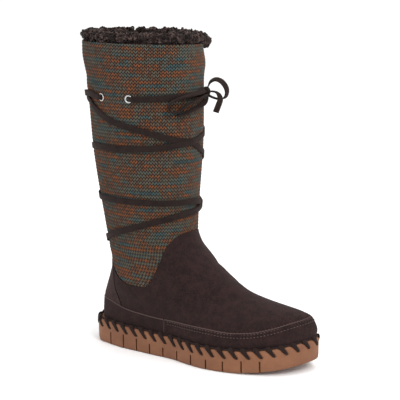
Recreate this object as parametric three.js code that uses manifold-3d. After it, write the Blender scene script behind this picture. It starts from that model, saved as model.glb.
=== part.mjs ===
// A tall knitted mukluk boot for the right foot, standing empty on its sole.
//
// Millimetres, +Z up, toe towards +X, inner side of the foot towards +Y. The shape is worked out
// with X counted from the back of the heel and Z from the floor, and the finished group is moved
// so that its origin lies on the floor, under the middle of the boot without its bow.
//
// One function, surface(), gives every point of the outside of the upper. The hollow upper, the
// suede that lies in a step of its wall, the fur collar, the lace and the eyelets all follow it.

import * as THREE from 'three'
import { mergeVertices } from 'three/addons/utils/BufferGeometryUtils.js'
import Module from 'manifold-3d'

const wasm = await Module()
wasm.setup()

// Driving sizes of the sole
const SOLE_LENGTH = 265
const BALL_WIDTH = 99
const HEEL_THICKNESS = 27
const FOREFOOT_THICKNESS = 24
const TOE_SPRING = 11.5
const TOE_BEND = 13
const HEEL_BEVEL = 3
const SOLE_LEDGE = 2.7

// Driving sizes of the upper
const UPPER_HEIGHT = 311.7
const INSTEP_HEIGHT = 110
const SHAFT_LENGTH = 142.3
const SHAFT_WIDTH = 111
const COLLAR_DIP = 4
const UPPER_WALL = 3.5
const SUEDE_THICKNESS = 1.5
const SUEDE_PROUD = 0.3
const BAND_THICKNESS = 2
const INSOLE_THICKNESS = 4

// Clearances
const SEAT_GAP = 0.3
const SEAM_GAP = 0.4
const LACE_GAP = 0.8

// Sizes of what is sewn, laced and set into the upper
const LACE_WIDTH = 6.5
const LACE_THICKNESS = 1.8
const BOW_THICKNESS = 1.5
const EYELET_WIDTH = 9
const EYELET_HOLE = 5.4
const EYELET_BARREL = 6.4
const EYELET_RIM = 0.9
const CORD_THICKNESS = 1.8
const STITCH_LENGTH = 10
const STITCH_WIDTH = 2.6
const STITCH_DEPTH = 1.3
const STITCH_PITCH = 14.2
const GROOVE_PITCH = 19.2
const GROOVE_WIDTH = 1.6
const GROOVE_DEPTH = 3.5
const GROOVE_SHARE = 0.5
const FUR_HEIGHT = 15
const FUR_DEPTH = 13
const LOCK_RADIUS = 6
const LOCKS_ROUND = 14

// How finely the curved forms are cut into faces
const COLUMNS = 28
const SOLE_COLUMNS = 56
const FUR_COLUMNS = 32
const LACE_STEP = 13
const BOW_STEP = 8

const TURN = 2 * Math.PI
const SEAT = FOREFOOT_THICKNESS + SEAT_GAP

// Colours from the photograph, as sRGB, with roughness and metalness
const LOOKS = {
  gum: { color: 0xa06e52, roughness: 0.75, metalness: 0 },
  suede: { color: 0x3a2c2a, roughness: 0.95, metalness: 0 },
  knit: { color: 0x7a5c44, roughness: 1, metalness: 0 },
  sherpa: { color: 0x5f5052, roughness: 1, metalness: 0 },
  lace: { color: 0x2e2220, roughness: 0.9, metalness: 0 },
  steel: { color: 0xc8c8c8, roughness: 0.3, metalness: 1 },
  footbed: { color: 0x8a7a6c, roughness: 0.95, metalness: 0 },
}

// The sole's outline from heel to toe. along is a share of SOLE_LENGTH. outer and inner are the
// half-widths on either side of the centre line, over those of an oval of that length, as shares
// of BALL_WIDTH.
const OUTLINE = [
  { along: 0, outer: 0.657, inner: 0.657 },
  { along: 0.03, outer: 0.621, inner: 0.636 },
  { along: 0.09, outer: 0.499, inner: 0.529 },
  { along: 0.17, outer: 0.452, inner: 0.45 },
  { along: 0.3, outer: 0.404, inner: 0.336 },
  { along: 0.42, outer: 0.395, inner: 0.345 },
  { along: 0.52, outer: 0.455, inner: 0.416 },
  { along: 0.62, outer: 0.522, inner: 0.483 },
  { along: 0.7, outer: 0.549, inner: 0.521 },
  { along: 0.78, outer: 0.579, inner: 0.534 },
  { along: 0.86, outer: 0.613, inner: 0.533 },
  { along: 0.93, outer: 0.636, inner: 0.51 },
  { along: 0.98, outer: 0.586, inner: 0.424 },
  { along: 1, outer: 0.545, inner: 0.404 },
]

// Level sections of the foot, from the sole up to the instep. rise is a share of INSTEP_HEIGHT,
// back and front are shares of SOLE_LENGTH, round goes from the sole's own outline (0) to an oval
// (1), flare is a share of the outline's width, width is the oval's half-width as a share of
// BALL_WIDTH, and widest is where along the section the oval is widest.
const FOOT_SECTIONS = [
  { rise: 0, back: 0.0264, front: 0.985, round: 0, flare: 0.96, width: 0.45, widest: 0.38 },
  { rise: 0.073, back: 0.0264, front: 0.991, round: 0, flare: 0.97, width: 0.45, widest: 0.38 },
  { rise: 0.145, back: 0.028, front: 0.983, round: 0.07, flare: 0.97, width: 0.447, widest: 0.37 },
  { rise: 0.209, back: 0.0294, front: 0.967, round: 0.2, flare: 0.955, width: 0.444, widest: 0.365 },
  { rise: 0.264, back: 0.0313, front: 0.936, round: 0.4, flare: 0.94, width: 0.437, widest: 0.36 },
  { rise: 0.309, back: 0.037, front: 0.887, round: 0.65, flare: 0.9, width: 0.43, widest: 0.35 },
  { rise: 0.364, back: 0.0457, front: 0.808, round: 0.87, flare: 0.9, width: 0.424, widest: 0.345 },
  { rise: 0.427, back: 0.0555, front: 0.725, round: 1, flare: 0.9, width: 0.42, widest: 0.36 },
  { rise: 0.5, back: 0.0642, front: 0.67, round: 1, flare: 0.9, width: 0.417, widest: 0.39 },
  { rise: 0.582, back: 0.0721, front: 0.615, round: 1, flare: 0.9, width: 0.414, widest: 0.43 },
  { rise: 0.673, back: 0.0728, front: 0.566, round: 1, flare: 0.9, width: 0.41, widest: 0.455 },
  { rise: 0.773, back: 0.0634, front: 0.522, round: 1, flare: 0.9, width: 0.41, widest: 0.475 },
  { rise: 0.882, back: 0.0566, front: 0.477, round: 1, flare: 0.9, width: 0.418, widest: 0.49 },
]

// Level sections of the shaft, from the instep to the collar. rise is a share of the height from
// the instep to the knit's top edge, centre a share of SOLE_LENGTH, and girth a share of
// SHAFT_LENGTH and SHAFT_WIDTH alike.
const SHAFT_SECTIONS = [
  { rise: 0, centre: 0.252, girth: 0.766 },
  { rise: 0.13, centre: 0.2459, girth: 0.804 },
  { rise: 0.3, centre: 0.2409, girth: 0.855 },
  { rise: 0.48, centre: 0.2351, girth: 0.898 },
  { rise: 0.66, centre: 0.2285, girth: 0.925 },
  { rise: 0.83, centre: 0.2216, girth: 0.961 },
  { rise: 1, centre: 0.2202, girth: 1 },
]

// Edge of the suede against the knit, seen from the side. along is a share of SOLE_LENGTH and
// rise a share of INSTEP_HEIGHT above the sole.
const SCALLOP = [
  { along: -0.08, rise: 0.67 },
  { along: 0.1, rise: 0.635 },
  { along: 0.15, rise: 0.545 },
  { along: 0.19, rise: 0.495 },
  { along: 0.235, rise: 0.468 },
  { along: 0.31, rise: 0.468 },
  { along: 0.335, rise: 0.5 },
  { along: 0.36, rise: 0.6 },
  { along: 0.383, rise: 0.727 },
  { along: 0.398, rise: 0.855 },
  { along: 0.416, rise: 0.936 },
  { along: 0.438, rise: 0.991 },
  { along: 0.5, rise: 1.04 },
]

// Top edge of the suede band round the foot, measured as the scallop is.
const BAND_EDGE = [
  { along: -0.08, rise: 0.27 },
  { along: 0.11, rise: 0.27 },
  { along: 0.15, rise: 0.236 },
  { along: 0.19, rise: 0.2 },
  { along: 0.275, rise: 0.17 },
  { along: 0.38, rise: 0.154 },
  { along: 0.6, rise: 0.16 },
  { along: 0.7, rise: 0.155 },
  { along: 0.79, rise: 0.18 },
  { along: 0.875, rise: 0.227 },
  { along: 0.936, rise: 0.27 },
  { along: 1.03, rise: 0.31 },
]

// Seams from top to bottom, measured as the scallop is: where the band's two lengths meet, and
// the front edge of the heel counter.
const BAND_JOINT = [
  { along: 0.396, rise: 1 },
  { along: 0.396, rise: 0 },
]
const COUNTER_EDGE = [
  { along: 0.085, rise: 0.8 },
  { along: 0.118, rise: 0.64 },
  { along: 0.155, rise: 0.42 },
  { along: 0.19, rise: 0.2 },
  { along: 0.215, rise: 0.05 },
]

// Route of the lace, as two halves that start together at the back and wind round the shaft in
// opposite ways. turn is degrees round the shaft from the toe, over the inner side, and rise is a
// share of UPPER_HEIGHT.
const LACE_OVER = [
  { turn: -180, rise: 0.3006 },
  { turn: -141, rise: 0.32 },
  { turn: -91, rise: 0.368 },
  { turn: -57, rise: 0.4 },
  { turn: -22, rise: 0.4225 },
  { turn: 23, rise: 0.4385 },
  { turn: 90, rise: 0.506 },
  { turn: 150, rise: 0.589 },
  { turn: 180, rise: 0.6215 },
  { turn: 226, rise: 0.647 },
  { turn: 263, rise: 0.648 },
  { turn: 298, rise: 0.654 },
  { turn: 323, rise: 0.663 },
  { turn: 347.6, rise: 0.6747 },
  { turn: 369, rise: 0.6875 },
  { turn: 410, rise: 0.7145 },
  { turn: 470, rise: 0.769 },
  { turn: 507, rise: 0.798 },
  { turn: 540, rise: 0.817 },
  { turn: 588, rise: 0.828 },
]
const LACE_UNDER = [
  { turn: 180, rise: 0.3006 },
  { turn: 91, rise: 0.368 },
  { turn: 14, rise: 0.4546 },
  { turn: -37, rise: 0.4655 },
  { turn: -101, rise: 0.4671 },
  { turn: -143, rise: 0.4642 },
  { turn: -180, rise: 0.4738 },
  { turn: -250, rise: 0.5316 },
  { turn: -310, rise: 0.5893 },
  { turn: -346, rise: 0.631 },
  { turn: -372, rise: 0.6692 },
  { turn: -398, rise: 0.6859 },
  { turn: -426, rise: 0.7113 },
  { turn: -452, rise: 0.7347 },
  { turn: -464, rise: 0.7478 },
  { turn: -476, rise: 0.7671 },
  { turn: -487, rise: 0.7889 },
  { turn: -495, rise: 0.805 },
  { turn: -515, rise: 0.8187 },
  { turn: -540, rise: 0.8235 },
  { turn: -580, rise: 0.8251 },
]

// The four eyelets, and the knot at the front, placed as the lace is.
const EYELET_RISE = 0.8203
const EYELETS = {
  eyelet_lateral_rear: -110.7,
  eyelet_lateral_front: -79,
  eyelet_medial_front: 79,
  eyelet_medial_rear: 110.7,
}
const KNOT_TURN = 15
const KNOT_RISE = 0.838
const KNOT_LENGTH = 10
const KNOT_HEIGHT = 10
const KNOT_DEPTH = 8

// The bow's ribbons, in millimetres from the middle of the knot: out is away from the shaft, side
// is along it towards the inner side of the foot, and up is up. lean turns the ribbon's width, in
// degrees, from level and along the shaft (0) to away from it (90).
const BOW = {
  lace_loop_front: [
    { out: 2.2, side: 0, up: 5.5, lean: 10 },
    { out: 5.4, side: 0, up: 11.4, lean: 25 },
    { out: 11.4, side: 0.5, up: 14.6, lean: 30 },
    { out: 18, side: 1, up: 12.4, lean: 35 },
    { out: 23.2, side: 1, up: 6.4, lean: 30 },
    { out: 24.8, side: 1, up: 0, lean: 20 },
    { out: 22.6, side: 1, up: -5.6, lean: 10 },
    { out: 16.5, side: 0.5, up: -7.6, lean: 0 },
    { out: 10.5, side: 0.5, up: -6.6, lean: 0 },
    { out: 3, side: 0, up: -4.9, lean: 0 },
  ],
  lace_end_front: [
    { out: 4.4, side: 0, up: 0.6, lean: 0 },
    { out: 9, side: 0, up: 1, lean: 0 },
    { out: 13, side: -1, up: 0.2, lean: 0 },
    { out: 17, side: -4.6, up: -2.4, lean: 15 },
    { out: 19.2, side: -7.4, up: -7, lean: 45 },
    { out: 18, side: -8.4, up: -13, lean: 60 },
    { out: 15.4, side: -8.4, up: -21, lean: 60 },
  ],
}

// The loop and the free end that lie on the shaft beside the bars, placed as the lace is, and off
// is how far the ribbon's middle stands out from the shaft, in millimetres.
const SHAFT_BOW = {
  lace_loop_side: [
    { turn: 7.5, rise: 0.8165, off: 4 },
    { turn: -2, rise: 0.811, off: 2.6 },
    { turn: -12, rise: 0.803, off: 2 },
    { turn: -22, rise: 0.794, off: 1.8 },
    { turn: -31, rise: 0.78, off: 1.8 },
    { turn: -38, rise: 0.774, off: 1.8 },
    { turn: -43, rise: 0.784, off: 1.9 },
    { turn: -44.5, rise: 0.806, off: 3.2 },
    { turn: -42, rise: 0.827, off: 4.6 },
    { turn: -34, rise: 0.84, off: 5 },
    { turn: -18, rise: 0.849, off: 5 },
    { turn: -3, rise: 0.851, off: 5 },
    { turn: 5, rise: 0.852, off: 5 },
  ],
  lace_end_side: [
    { turn: 7, rise: 0.793, off: 3.2 },
    { turn: -3, rise: 0.783, off: 2 },
    { turn: -14, rise: 0.769, off: 1.8 },
    { turn: -23, rise: 0.754, off: 1.8 },
    { turn: -33, rise: 0.742, off: 1.8 },
    { turn: -41, rise: 0.739, off: 1.8 },
  ],
}

// A smooth curve through a table's rows that never swings past them: column against position.
function column(rows, position, name) {
  const at = rows.map((row) => row[position])
  const value = rows.map((row) => row[name])
  const slope = []
  for (let i = 0; i + 1 < rows.length; i++) {
    slope.push((value[i + 1] - value[i]) / (at[i + 1] - at[i]))
  }
  const tangent = value.map((_, i) => {
    if (i === 0) return slope[0]
    if (i === rows.length - 1) return slope[i - 1]
    const [before, after] = [slope[i - 1], slope[i]]
    return before * after <= 0 ? 0 : (2 * before * after) / (before + after)
  })
  return (where) => {
    const place = Math.min(Math.max(where, at[0]), at[at.length - 1])
    let i = 0
    while (i + 2 < at.length && place > at[i + 1]) i++
    const span = at[i + 1] - at[i]
    const t = (place - at[i]) / span
    return (
      value[i] * (1 + 2 * t) * (1 - t) ** 2 +
      value[i + 1] * t * t * (3 - 2 * t) +
      span * (tangent[i] * t * (1 - t) ** 2 - tangent[i + 1] * t * t * (1 - t))
    )
  }
}

const outlineOuter = column(OUTLINE, 'along', 'outer')
const outlineInner = column(OUTLINE, 'along', 'inner')

// How far the foot's centre line has swung inwards at x, towards the big toe.
const BEND_START = 0.45
function centreLine(x) {
  return TOE_BEND * Math.max(0, (x / SOLE_LENGTH - BEND_START) / (1 - BEND_START)) ** 2
}

// Height of the sole's underside over the floor: flat from heel to ball, with a bevel at the very
// back and the toe sprung up.
const SPRING_START = 0.66
const BEVEL_END = 0.06
function soleBottom(x) {
  const share = x / SOLE_LENGTH
  const toe = Math.max(0, (share - SPRING_START) / (1 - SPRING_START)) ** 2
  const heel = Math.max(0, 1 - share / BEVEL_END) ** 2
  return TOE_SPRING * toe + HEEL_BEVEL * heel
}

// Height of the sole's top, which falls from heel to forefoot and then follows the toe up.
const WEDGE_END = 0.6
function soleTop(x) {
  const share = x / SOLE_LENGTH
  const toe = Math.max(0, (share - SPRING_START) / (1 - SPRING_START)) ** 2
  const fall = Math.min(1, Math.max(0, share / WEDGE_END))
  const wedge = (HEEL_THICKNESS - FOREFOOT_THICKNESS) * (1 - fall * fall * (3 - 2 * fall))
  return FOREFOOT_THICKNESS + wedge + TOE_SPRING * toe
}

// A section's half-width where an oval of half-width 1, widest at share c, is compared with a
// plain half-circle on the same length.
function ovalRatio(u, c) {
  const before = (2 * c - u) / (4 * c * c * (1 - u))
  const after = (1 - 2 * c + u) / (4 * (1 - c) * (1 - c) * u)
  return Math.sqrt(u < c ? before : after)
}

// Every row of both tables as one list of sections in millimetres, from the sole to the collar.
const SECTIONS = [
  ...FOOT_SECTIONS.map((row) => ({
    height: row.rise * INSTEP_HEIGHT,
    back: row.back * SOLE_LENGTH,
    front: row.front * SOLE_LENGTH,
    round: row.round,
    flare: row.flare,
    half: row.width * BALL_WIDTH,
    widest: row.widest,
  })),
  ...SHAFT_SECTIONS.map((row) => ({
    height: INSTEP_HEIGHT + row.rise * (UPPER_HEIGHT - INSTEP_HEIGHT),
    back: row.centre * SOLE_LENGTH - (row.girth * SHAFT_LENGTH) / 2,
    front: row.centre * SOLE_LENGTH + (row.girth * SHAFT_LENGTH) / 2,
    round: 1,
    flare: 0.9,
    half: (row.girth * SHAFT_WIDTH) / 2,
    widest: 0.5,
  })),
]
const section = {}
for (const name of ['back', 'front', 'round', 'flare', 'half', 'widest']) {
  section[name] = column(SECTIONS, 'height', name)
}

// A point of the upper's outside. around goes from 0 at the back, over the outer side and the
// front, to 1, and height is counted from the sole. The toe's spring fades out up the foot, and
// the collar dips towards the front.
const SPRING_FADE = 0.76
const DIP_START = 0.8
function surface(around, height) {
  const angle = TURN * around
  const share = Math.min(1 - 1e-6, Math.max(1e-6, (1 - Math.cos(angle)) / 2))
  const x = section.back(height) + (section.front(height) - section.back(height)) * share
  const outer = Math.sin(angle) > 0
  const below = x / SOLE_LENGTH
  const edge = (outer ? outlineOuter(below) : outlineInner(below)) * BALL_WIDTH
  const plain = section.flare(height) * edge - SOLE_LEDGE
  const oval = section.half(height) * ovalRatio(share, section.widest(height))
  const round = section.round(height)
  const fullness = (1 - round) * plain + round * oval
  const fade = Math.max(0, 1 - height / (SPRING_FADE * INSTEP_HEIGHT))
  const lift = (soleTop(x) - FOREFOOT_THICKNESS) * fade
  const dip = Math.max(0, (height / UPPER_HEIGHT - DIP_START) / (1 - DIP_START))
  const drop = COLLAR_DIP * share * dip * dip
  const y = centreLine(x) - fullness * Math.sin(angle)
  return new THREE.Vector3(x, y, SEAT + height + lift - drop)
}

// The direction straight out of the upper at that point.
const NUDGE = 0.002
function outward(around, height) {
  const low = Math.max(0, height - 1)
  const across = surface(around + NUDGE, height).sub(surface(around - NUDGE, height))
  const up = surface(around, height + 1).sub(surface(around, low))
  return across.cross(up).normalize()
}

// The same point, moved straight out by a distance.
function offsetPoint(around, height, distance) {
  return surface(around, height).addScaledVector(outward(around, height), distance)
}

// around for a turn in degrees, counted from the toe over the inner side.
function aroundOf(turn) {
  return (((turn - 180) / 360) % 1 + 1) % 1
}

// Turns a list of corner points and triangles into a solid.
function solidOf(points, triangles) {
  const wide = new Float32Array(points.flatMap((p) => [p.x, p.y, p.z]))
  return new wasm.Manifold(
    new wasm.Mesh({ numProp: 3, vertProperties: wide, triVerts: Uint32Array.from(triangles) })
  )
}

// Turns a closed three.js geometry into a solid.
function solidFrom(geometry) {
  const bare = geometry.clone()
  bare.deleteAttribute('normal')
  bare.deleteAttribute('uv')
  const merged = mergeVertices(bare, 1e-4)
  return new wasm.Manifold(
    new wasm.Mesh({
      numProp: 3,
      vertProperties: Float32Array.from(merged.attributes.position.array),
      triVerts: Uint32Array.from(merged.index.array),
    })
  )
}

// Turns a solid into a three.js geometry.
function geometryOf(solid) {
  const mesh = solid.getMesh()
  const geometry = new THREE.BufferGeometry()
  geometry.setAttribute('position', new THREE.BufferAttribute(mesh.vertProperties, 3))
  geometry.setIndex(new THREE.BufferAttribute(mesh.triVerts, 1))
  geometry.computeVertexNormals()
  return geometry
}

// A solid through closed rings of points, counter-clockwise from above and listed from the bottom
// up, closed at both ends by strips that run straight across from one side to the other.
function loftRings(rings) {
  const count = rings[0].length
  const triangles = []
  for (let r = 0; r + 1 < rings.length; r++) {
    for (let i = 0; i < count; i++) {
      const [a, b] = [r * count + i, r * count + ((i + 1) % count)]
      const [c, d] = [a + count, b + count]
      triangles.push(a, b, d, a, d, c)
    }
  }
  const top = (rings.length - 1) * count
  for (let i = 0; i < count / 2; i++) {
    const [a, b] = [i, i + 1]
    const [c, d] = [(count - i) % count, count - i - 1]
    if (i > 0) {
      triangles.push(a, c, b)
      triangles.push(top + a, top + b, top + c)
    }
    if (i + 1 < count / 2) {
      triangles.push(b, c, d)
      triangles.push(top + b, top + d, top + c)
    }
  }
  return solidOf(rings.flat(), triangles)
}

// A ring of the upper's outside at one height, moved out by a distance. Its foot stays level with
// the sole.
function ringAt(height, distance, extra = 0) {
  const ring = []
  for (let i = 0; i < COLUMNS; i++) {
    const point = offsetPoint(i / COLUMNS, height, distance)
    if (height === 0) point.z = soleTop(point.x) + SEAT_GAP
    point.z += extra
    ring.push(point)
  }
  return ring
}

// The filled form of the upper, moved out by a distance, up to the last of the given heights. With
// overrun, it runs on past both ends, to cut a form that ends there.
function form(distance, heights, overrun = 0) {
  const rings = heights.map((height) => ringAt(height, distance))
  if (overrun > 0) {
    rings.unshift(ringAt(0, distance, -overrun))
    rings.push(ringAt(heights[heights.length - 1], distance, overrun))
  }
  return loftRings(rings)
}

// Heights of the rings: each section's on the outside, and every other one's inside.
const FOOT_ROWS = FOOT_SECTIONS.length
const HEIGHTS = SECTIONS.map((row) => row.height)
const FOOT_HEIGHTS = HEIGHTS.slice(0, FOOT_ROWS + 2)
const CAVITY_HEIGHTS = HEIGHTS.filter((_, i) => (HEIGHTS.length - 1 - i) % 2 === 0 || i === 0)

// A block right across the boot between two edges given by tables, in the sideways view.
function blockBetween(lowEdge, highEdge) {
  const at = (row) => [row.along * SOLE_LENGTH, SEAT + row.rise * INSTEP_HEIGHT]
  const shape = new THREE.Shape()
  lowEdge.forEach((row, i) => (i === 0 ? shape.moveTo(...at(row)) : shape.lineTo(...at(row))))
  const back = [...highEdge].reverse()
  back.forEach((row) => shape.lineTo(...at(row)))
  const width = 4 * BALL_WIDTH
  const geometry = new THREE.ExtrudeGeometry(shape, { depth: width, bevelEnabled: false })
  geometry.rotateX(Math.PI / 2)
  geometry.translate(0, width / 2, 0)
  return solidFrom(geometry)
}

// How far the cutting blocks reach past the foot, as shares of SOLE_LENGTH and INSTEP_HEIGHT.
const FAR = { back: -0.3, front: 1.3, low: -0.5, high: 1.1 }

// Everything under an edge that a table gives, with the edge moved up by a margin.
function areaUnder(edge, margin) {
  const moved = edge.map((row) => ({ along: row.along, rise: row.rise + margin / INSTEP_HEIGHT }))
  const first = { along: FAR.back, rise: moved[0].rise }
  const last = { along: FAR.front, rise: moved[moved.length - 1].rise }
  const below = [
    { along: FAR.back, rise: FAR.low },
    { along: FAR.front, rise: FAR.low },
  ]
  return blockBetween(below, [first, ...moved, last])
}

// Everything behind a seam that a table gives, with the seam moved forward by a margin.
function areaBehind(seam, margin) {
  const moved = seam.map((row) => ({ along: row.along + margin / SOLE_LENGTH, rise: row.rise }))
  const below = [
    { along: FAR.back, rise: FAR.low },
    { along: moved[moved.length - 1].along, rise: FAR.low },
  ]
  const above = [
    { along: FAR.back, rise: FAR.high },
    { along: moved[0].along, rise: FAR.high },
  ]
  return blockBetween(below, [...above, ...moved])
}

const SUEDE_BACK = SUEDE_PROUD - SUEDE_THICKNESS
const STEP = SUEDE_BACK - SEAT_GAP
const CUT_OVERRUN = 3

// The knitted shaft and the lasted foot, in one hollow piece: full under the knit, stepped back
// where the suede lies on it, open at the collar and underneath, with the eyelets' holes.
function buildUpper() {
  const outside = form(0, HEIGHTS)
  const stepped = form(STEP, HEIGHTS, CUT_OVERRUN)
  const room = areaUnder(SCALLOP, SEAM_GAP).subtract(stepped)
  const cavity = form(-UPPER_WALL, CAVITY_HEIGHTS, CUT_OVERRUN)
  let solid = outside.subtract(room).subtract(cavity)
  for (const turn of Object.values(EYELETS)) solid = solid.subtract(eyeletSeat(turn))
  return solid
}

// A layer of leather on the foot, from the suede's back out to a distance.
function suedeLayer(outer) {
  return form(outer, FOOT_HEIGHTS).subtract(form(SUEDE_BACK, FOOT_HEIGHTS, CUT_OVERRUN))
}

// The suede foot cover between the band and the scallop, in front of the counter.
function buildVamp() {
  const layer = suedeLayer(SUEDE_PROUD).intersect(areaUnder(SCALLOP, 0))
  return layer.subtract(areaUnder(BAND_EDGE, SEAM_GAP)).subtract(areaBehind(COUNTER_EDGE, SEAM_GAP))
}

// The suede patch over the heel.
function buildCounter() {
  const layer = suedeLayer(SUEDE_PROUD).intersect(areaUnder(SCALLOP, 0))
  return layer.subtract(areaUnder(BAND_EDGE, SEAM_GAP)).intersect(areaBehind(COUNTER_EDGE, 0))
}

// The band round the foot above the sole, in a rear and a front length.
function buildBand(rear) {
  const layer = suedeLayer(SUEDE_BACK + BAND_THICKNESS).intersect(areaUnder(BAND_EDGE, 0))
  if (rear) return layer.intersect(areaBehind(BAND_JOINT, 0))
  return layer.subtract(areaBehind(BAND_JOINT, SEAM_GAP))
}

// The footbed, cut to the inside of the upper.
function buildInsole() {
  const inset = -UPPER_WALL - 2 * SEAT_GAP
  const under = ringAt(0, inset)
  const over = ringAt(0, inset, INSOLE_THICKNESS)
  return loftRings([under, over])
}

// A point of the sole's outline, moved straight out by a distance. around runs as on the upper.
function outlinePoint(around, distance) {
  const at = (where) => {
    const angle = TURN * where
    const share = (1 - Math.cos(angle)) / 2
    const outer = Math.sin(angle) > 0
    const half = (outer ? outlineOuter(share) : outlineInner(share)) * BALL_WIDTH
    const x = share * SOLE_LENGTH
    return new THREE.Vector2(x, centreLine(x) - half * Math.sin(angle))
  }
  const here = at(around)
  const along = at(around + NUDGE).sub(at(around - NUDGE)).normalize()
  return new THREE.Vector2(here.x + along.y * distance, here.y - along.x * distance)
}

// A ring round the sole, drawn in by a distance, at a height given for each x.
function soleRing(inset, heightAt) {
  const ring = []
  for (let i = 0; i < SOLE_COLUMNS; i++) {
    const { x, y } = outlinePoint(i / SOLE_COLUMNS, -inset)
    ring.push(new THREE.Vector3(x, y, heightAt(x)))
  }
  return ring
}

// The sole's side, from the floor up. share is of its thickness, and inset is in millimetres.
const SOLE_SIDE = [
  { share: 0, inset: 2 },
  { share: 0.07, inset: 0.6 },
  { share: 0.62, inset: 0 },
  { share: 0.92, inset: 0.3 },
  { share: 1, inset: 2 },
]

// The moulded sole, with flex grooves up both sides that meet in a channel across the tread.
const GROOVE_START = 0.116
const GROOVE_END = 0.845
const GROOVE_COUNT = Math.floor(((GROOVE_END - GROOVE_START) * SOLE_LENGTH) / GROOVE_PITCH) + 1
const CHANNEL_DEPTH = 2.5
function buildOutsole() {
  const rings = SOLE_SIDE.map(({ share, inset }) =>
    soleRing(inset, (x) => soleBottom(x) + share * (soleTop(x) - soleBottom(x)))
  )
  let solid = loftRings(rings)
  const core = loftRings([
    soleRing(GROOVE_DEPTH, (x) => soleBottom(x) + CHANNEL_DEPTH),
    soleRing(GROOVE_DEPTH, (x) => soleTop(x) + CUT_OVERRUN),
  ])
  for (let i = 0; i < GROOVE_COUNT; i++) {
    const x = GROOVE_START * SOLE_LENGTH + i * GROOVE_PITCH
    const thickness = soleTop(x) - soleBottom(x)
    const top = soleBottom(x) + GROOVE_SHARE * thickness
    const slot = new THREE.BoxGeometry(GROOVE_WIDTH, 2 * BALL_WIDTH, top + CUT_OVERRUN)
    slot.translate(x, 0, (top - CUT_OVERRUN) / 2)
    solid = solid.subtract(solidFrom(slot).subtract(core))
  }
  return solid
}

// A flat ribbon through rings of four corners: middle, width direction and thickness direction.
function ribbon(stations, width, thickness) {
  const corners = [[-1, -1], [1, -1], [1, 1], [-1, 1]]
  const rings = stations.map(({ middle, wide, thick }) =>
    corners.map(([w, t]) => {
      const corner = middle.clone().addScaledVector(wide, (w * width) / 2)
      return corner.addScaledVector(thick, (t * thickness) / 2)
    })
  )
  const triangles = []
  for (let r = 0; r + 1 < rings.length; r++) {
    for (let i = 0; i < 4; i++) {
      const [a, b] = [4 * r + i, 4 * r + ((i + 1) % 4)]
      triangles.push(a, b, b + 4, a, b + 4, a + 4)
    }
  }
  const last = 4 * (rings.length - 1)
  triangles.push(0, 2, 1, 0, 3, 2, last, last + 1, last + 2, last, last + 2, last + 3)
  return solidOf(rings.flat(), triangles)
}

// Stations of a ribbon that lies on the shaft along a table's route, a step of millimetres apart.
const WALK_STEPS = 40
function shaftStations(route, step) {
  const knots = route.map((row) => new THREE.Vector3(row.turn, row.rise * UPPER_HEIGHT, row.off))
  const curve = new THREE.CatmullRomCurve3(knots, false, 'centripetal')
  const place = (t) => {
    const at = curve.getPoint(t)
    return offsetPoint(aroundOf(at.x), at.y, at.z)
  }
  const fine = WALK_STEPS * route.length
  const walked = [0]
  let previous = place(0)
  for (let i = 1; i <= fine; i++) {
    const next = place(i / fine)
    walked.push(walked[i - 1] + next.distanceTo(previous))
    previous = next
  }
  const steps = Math.max(2, Math.round(walked[fine] / step))
  const stations = []
  for (let s = 0; s <= steps; s++) {
    const goal = (walked[fine] * s) / steps
    let i = 1
    while (i < fine && walked[i] < goal) i++
    const t = (i - 1 + (goal - walked[i - 1]) / (walked[i] - walked[i - 1])) / fine
    const at = curve.getPoint(t)
    const middle = offsetPoint(aroundOf(at.x), at.y, at.z)
    const ahead = place(Math.min(1, t + NUDGE)).sub(place(Math.max(0, t - NUDGE))).normalize()
    const thick = outward(aroundOf(at.x), at.y)
    const wide = thick.clone().cross(ahead).normalize()
    thick.crossVectors(ahead, wide).normalize()
    stations.push({ middle, wide, thick })
  }
  return stations
}

// Degrees of turn that a distance takes up on the shaft, at the eyelets' height.
function turnFor(distance, turn, rise) {
  const height = rise * UPPER_HEIGHT
  const reach = surface(aroundOf(turn + 1), height).distanceTo(surface(aroundOf(turn), height))
  return distance / reach
}

const LACE_OFF = LACE_GAP + LACE_THICKNESS / 2
const LACE_CLEAR = EYELET_WIDTH / 2 + 2 * LACE_GAP

// The two halves of the lace round the shaft, joined where they cross. Each ends beside its rear
// eyelet.
function buildWraps() {
  const over = LACE_OVER.map((row) => ({ ...row, off: LACE_OFF }))
  const under = LACE_UNDER.map((row) => ({ ...row, off: LACE_OFF }))
  const stop = turnFor(LACE_CLEAR, EYELETS.eyelet_lateral_rear, EYELET_RISE)
  over.push({ turn: EYELETS.eyelet_lateral_rear + 720 - stop, rise: EYELET_RISE, off: LACE_OFF })
  under.push({ turn: EYELETS.eyelet_medial_rear - 720 + stop, rise: EYELET_RISE, off: LACE_OFF })
  const first = ribbon(shaftStations(over, LACE_STEP), LACE_WIDTH, LACE_THICKNESS)
  const second = ribbon(shaftStations(under, LACE_STEP), LACE_WIDTH, LACE_THICKNESS)
  return first.add(second)
}

// A bar of lace from a front eyelet to the knot, steeper towards the knot.
const BAR_CURVE = 1.4
const BAR_SHARES = [0, 0.25, 0.5, 0.75, 1]
function buildBar(eyelet) {
  const side = Math.sign(eyelet)
  const start = eyelet - side * turnFor(LACE_CLEAR, eyelet, EYELET_RISE)
  const stop = KNOT_TURN + side * turnFor(KNOT_LENGTH / 2 + SEAT_GAP, KNOT_TURN, KNOT_RISE)
  const at = (share) => ({
    turn: start + (stop - start) * share,
    rise: EYELET_RISE + (KNOT_RISE - EYELET_RISE) * share ** BAR_CURVE,
    off: LACE_OFF,
  })
  return ribbon(shaftStations(BAR_SHARES.map(at), LACE_STEP), LACE_WIDTH, LACE_THICKNESS)
}

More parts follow.
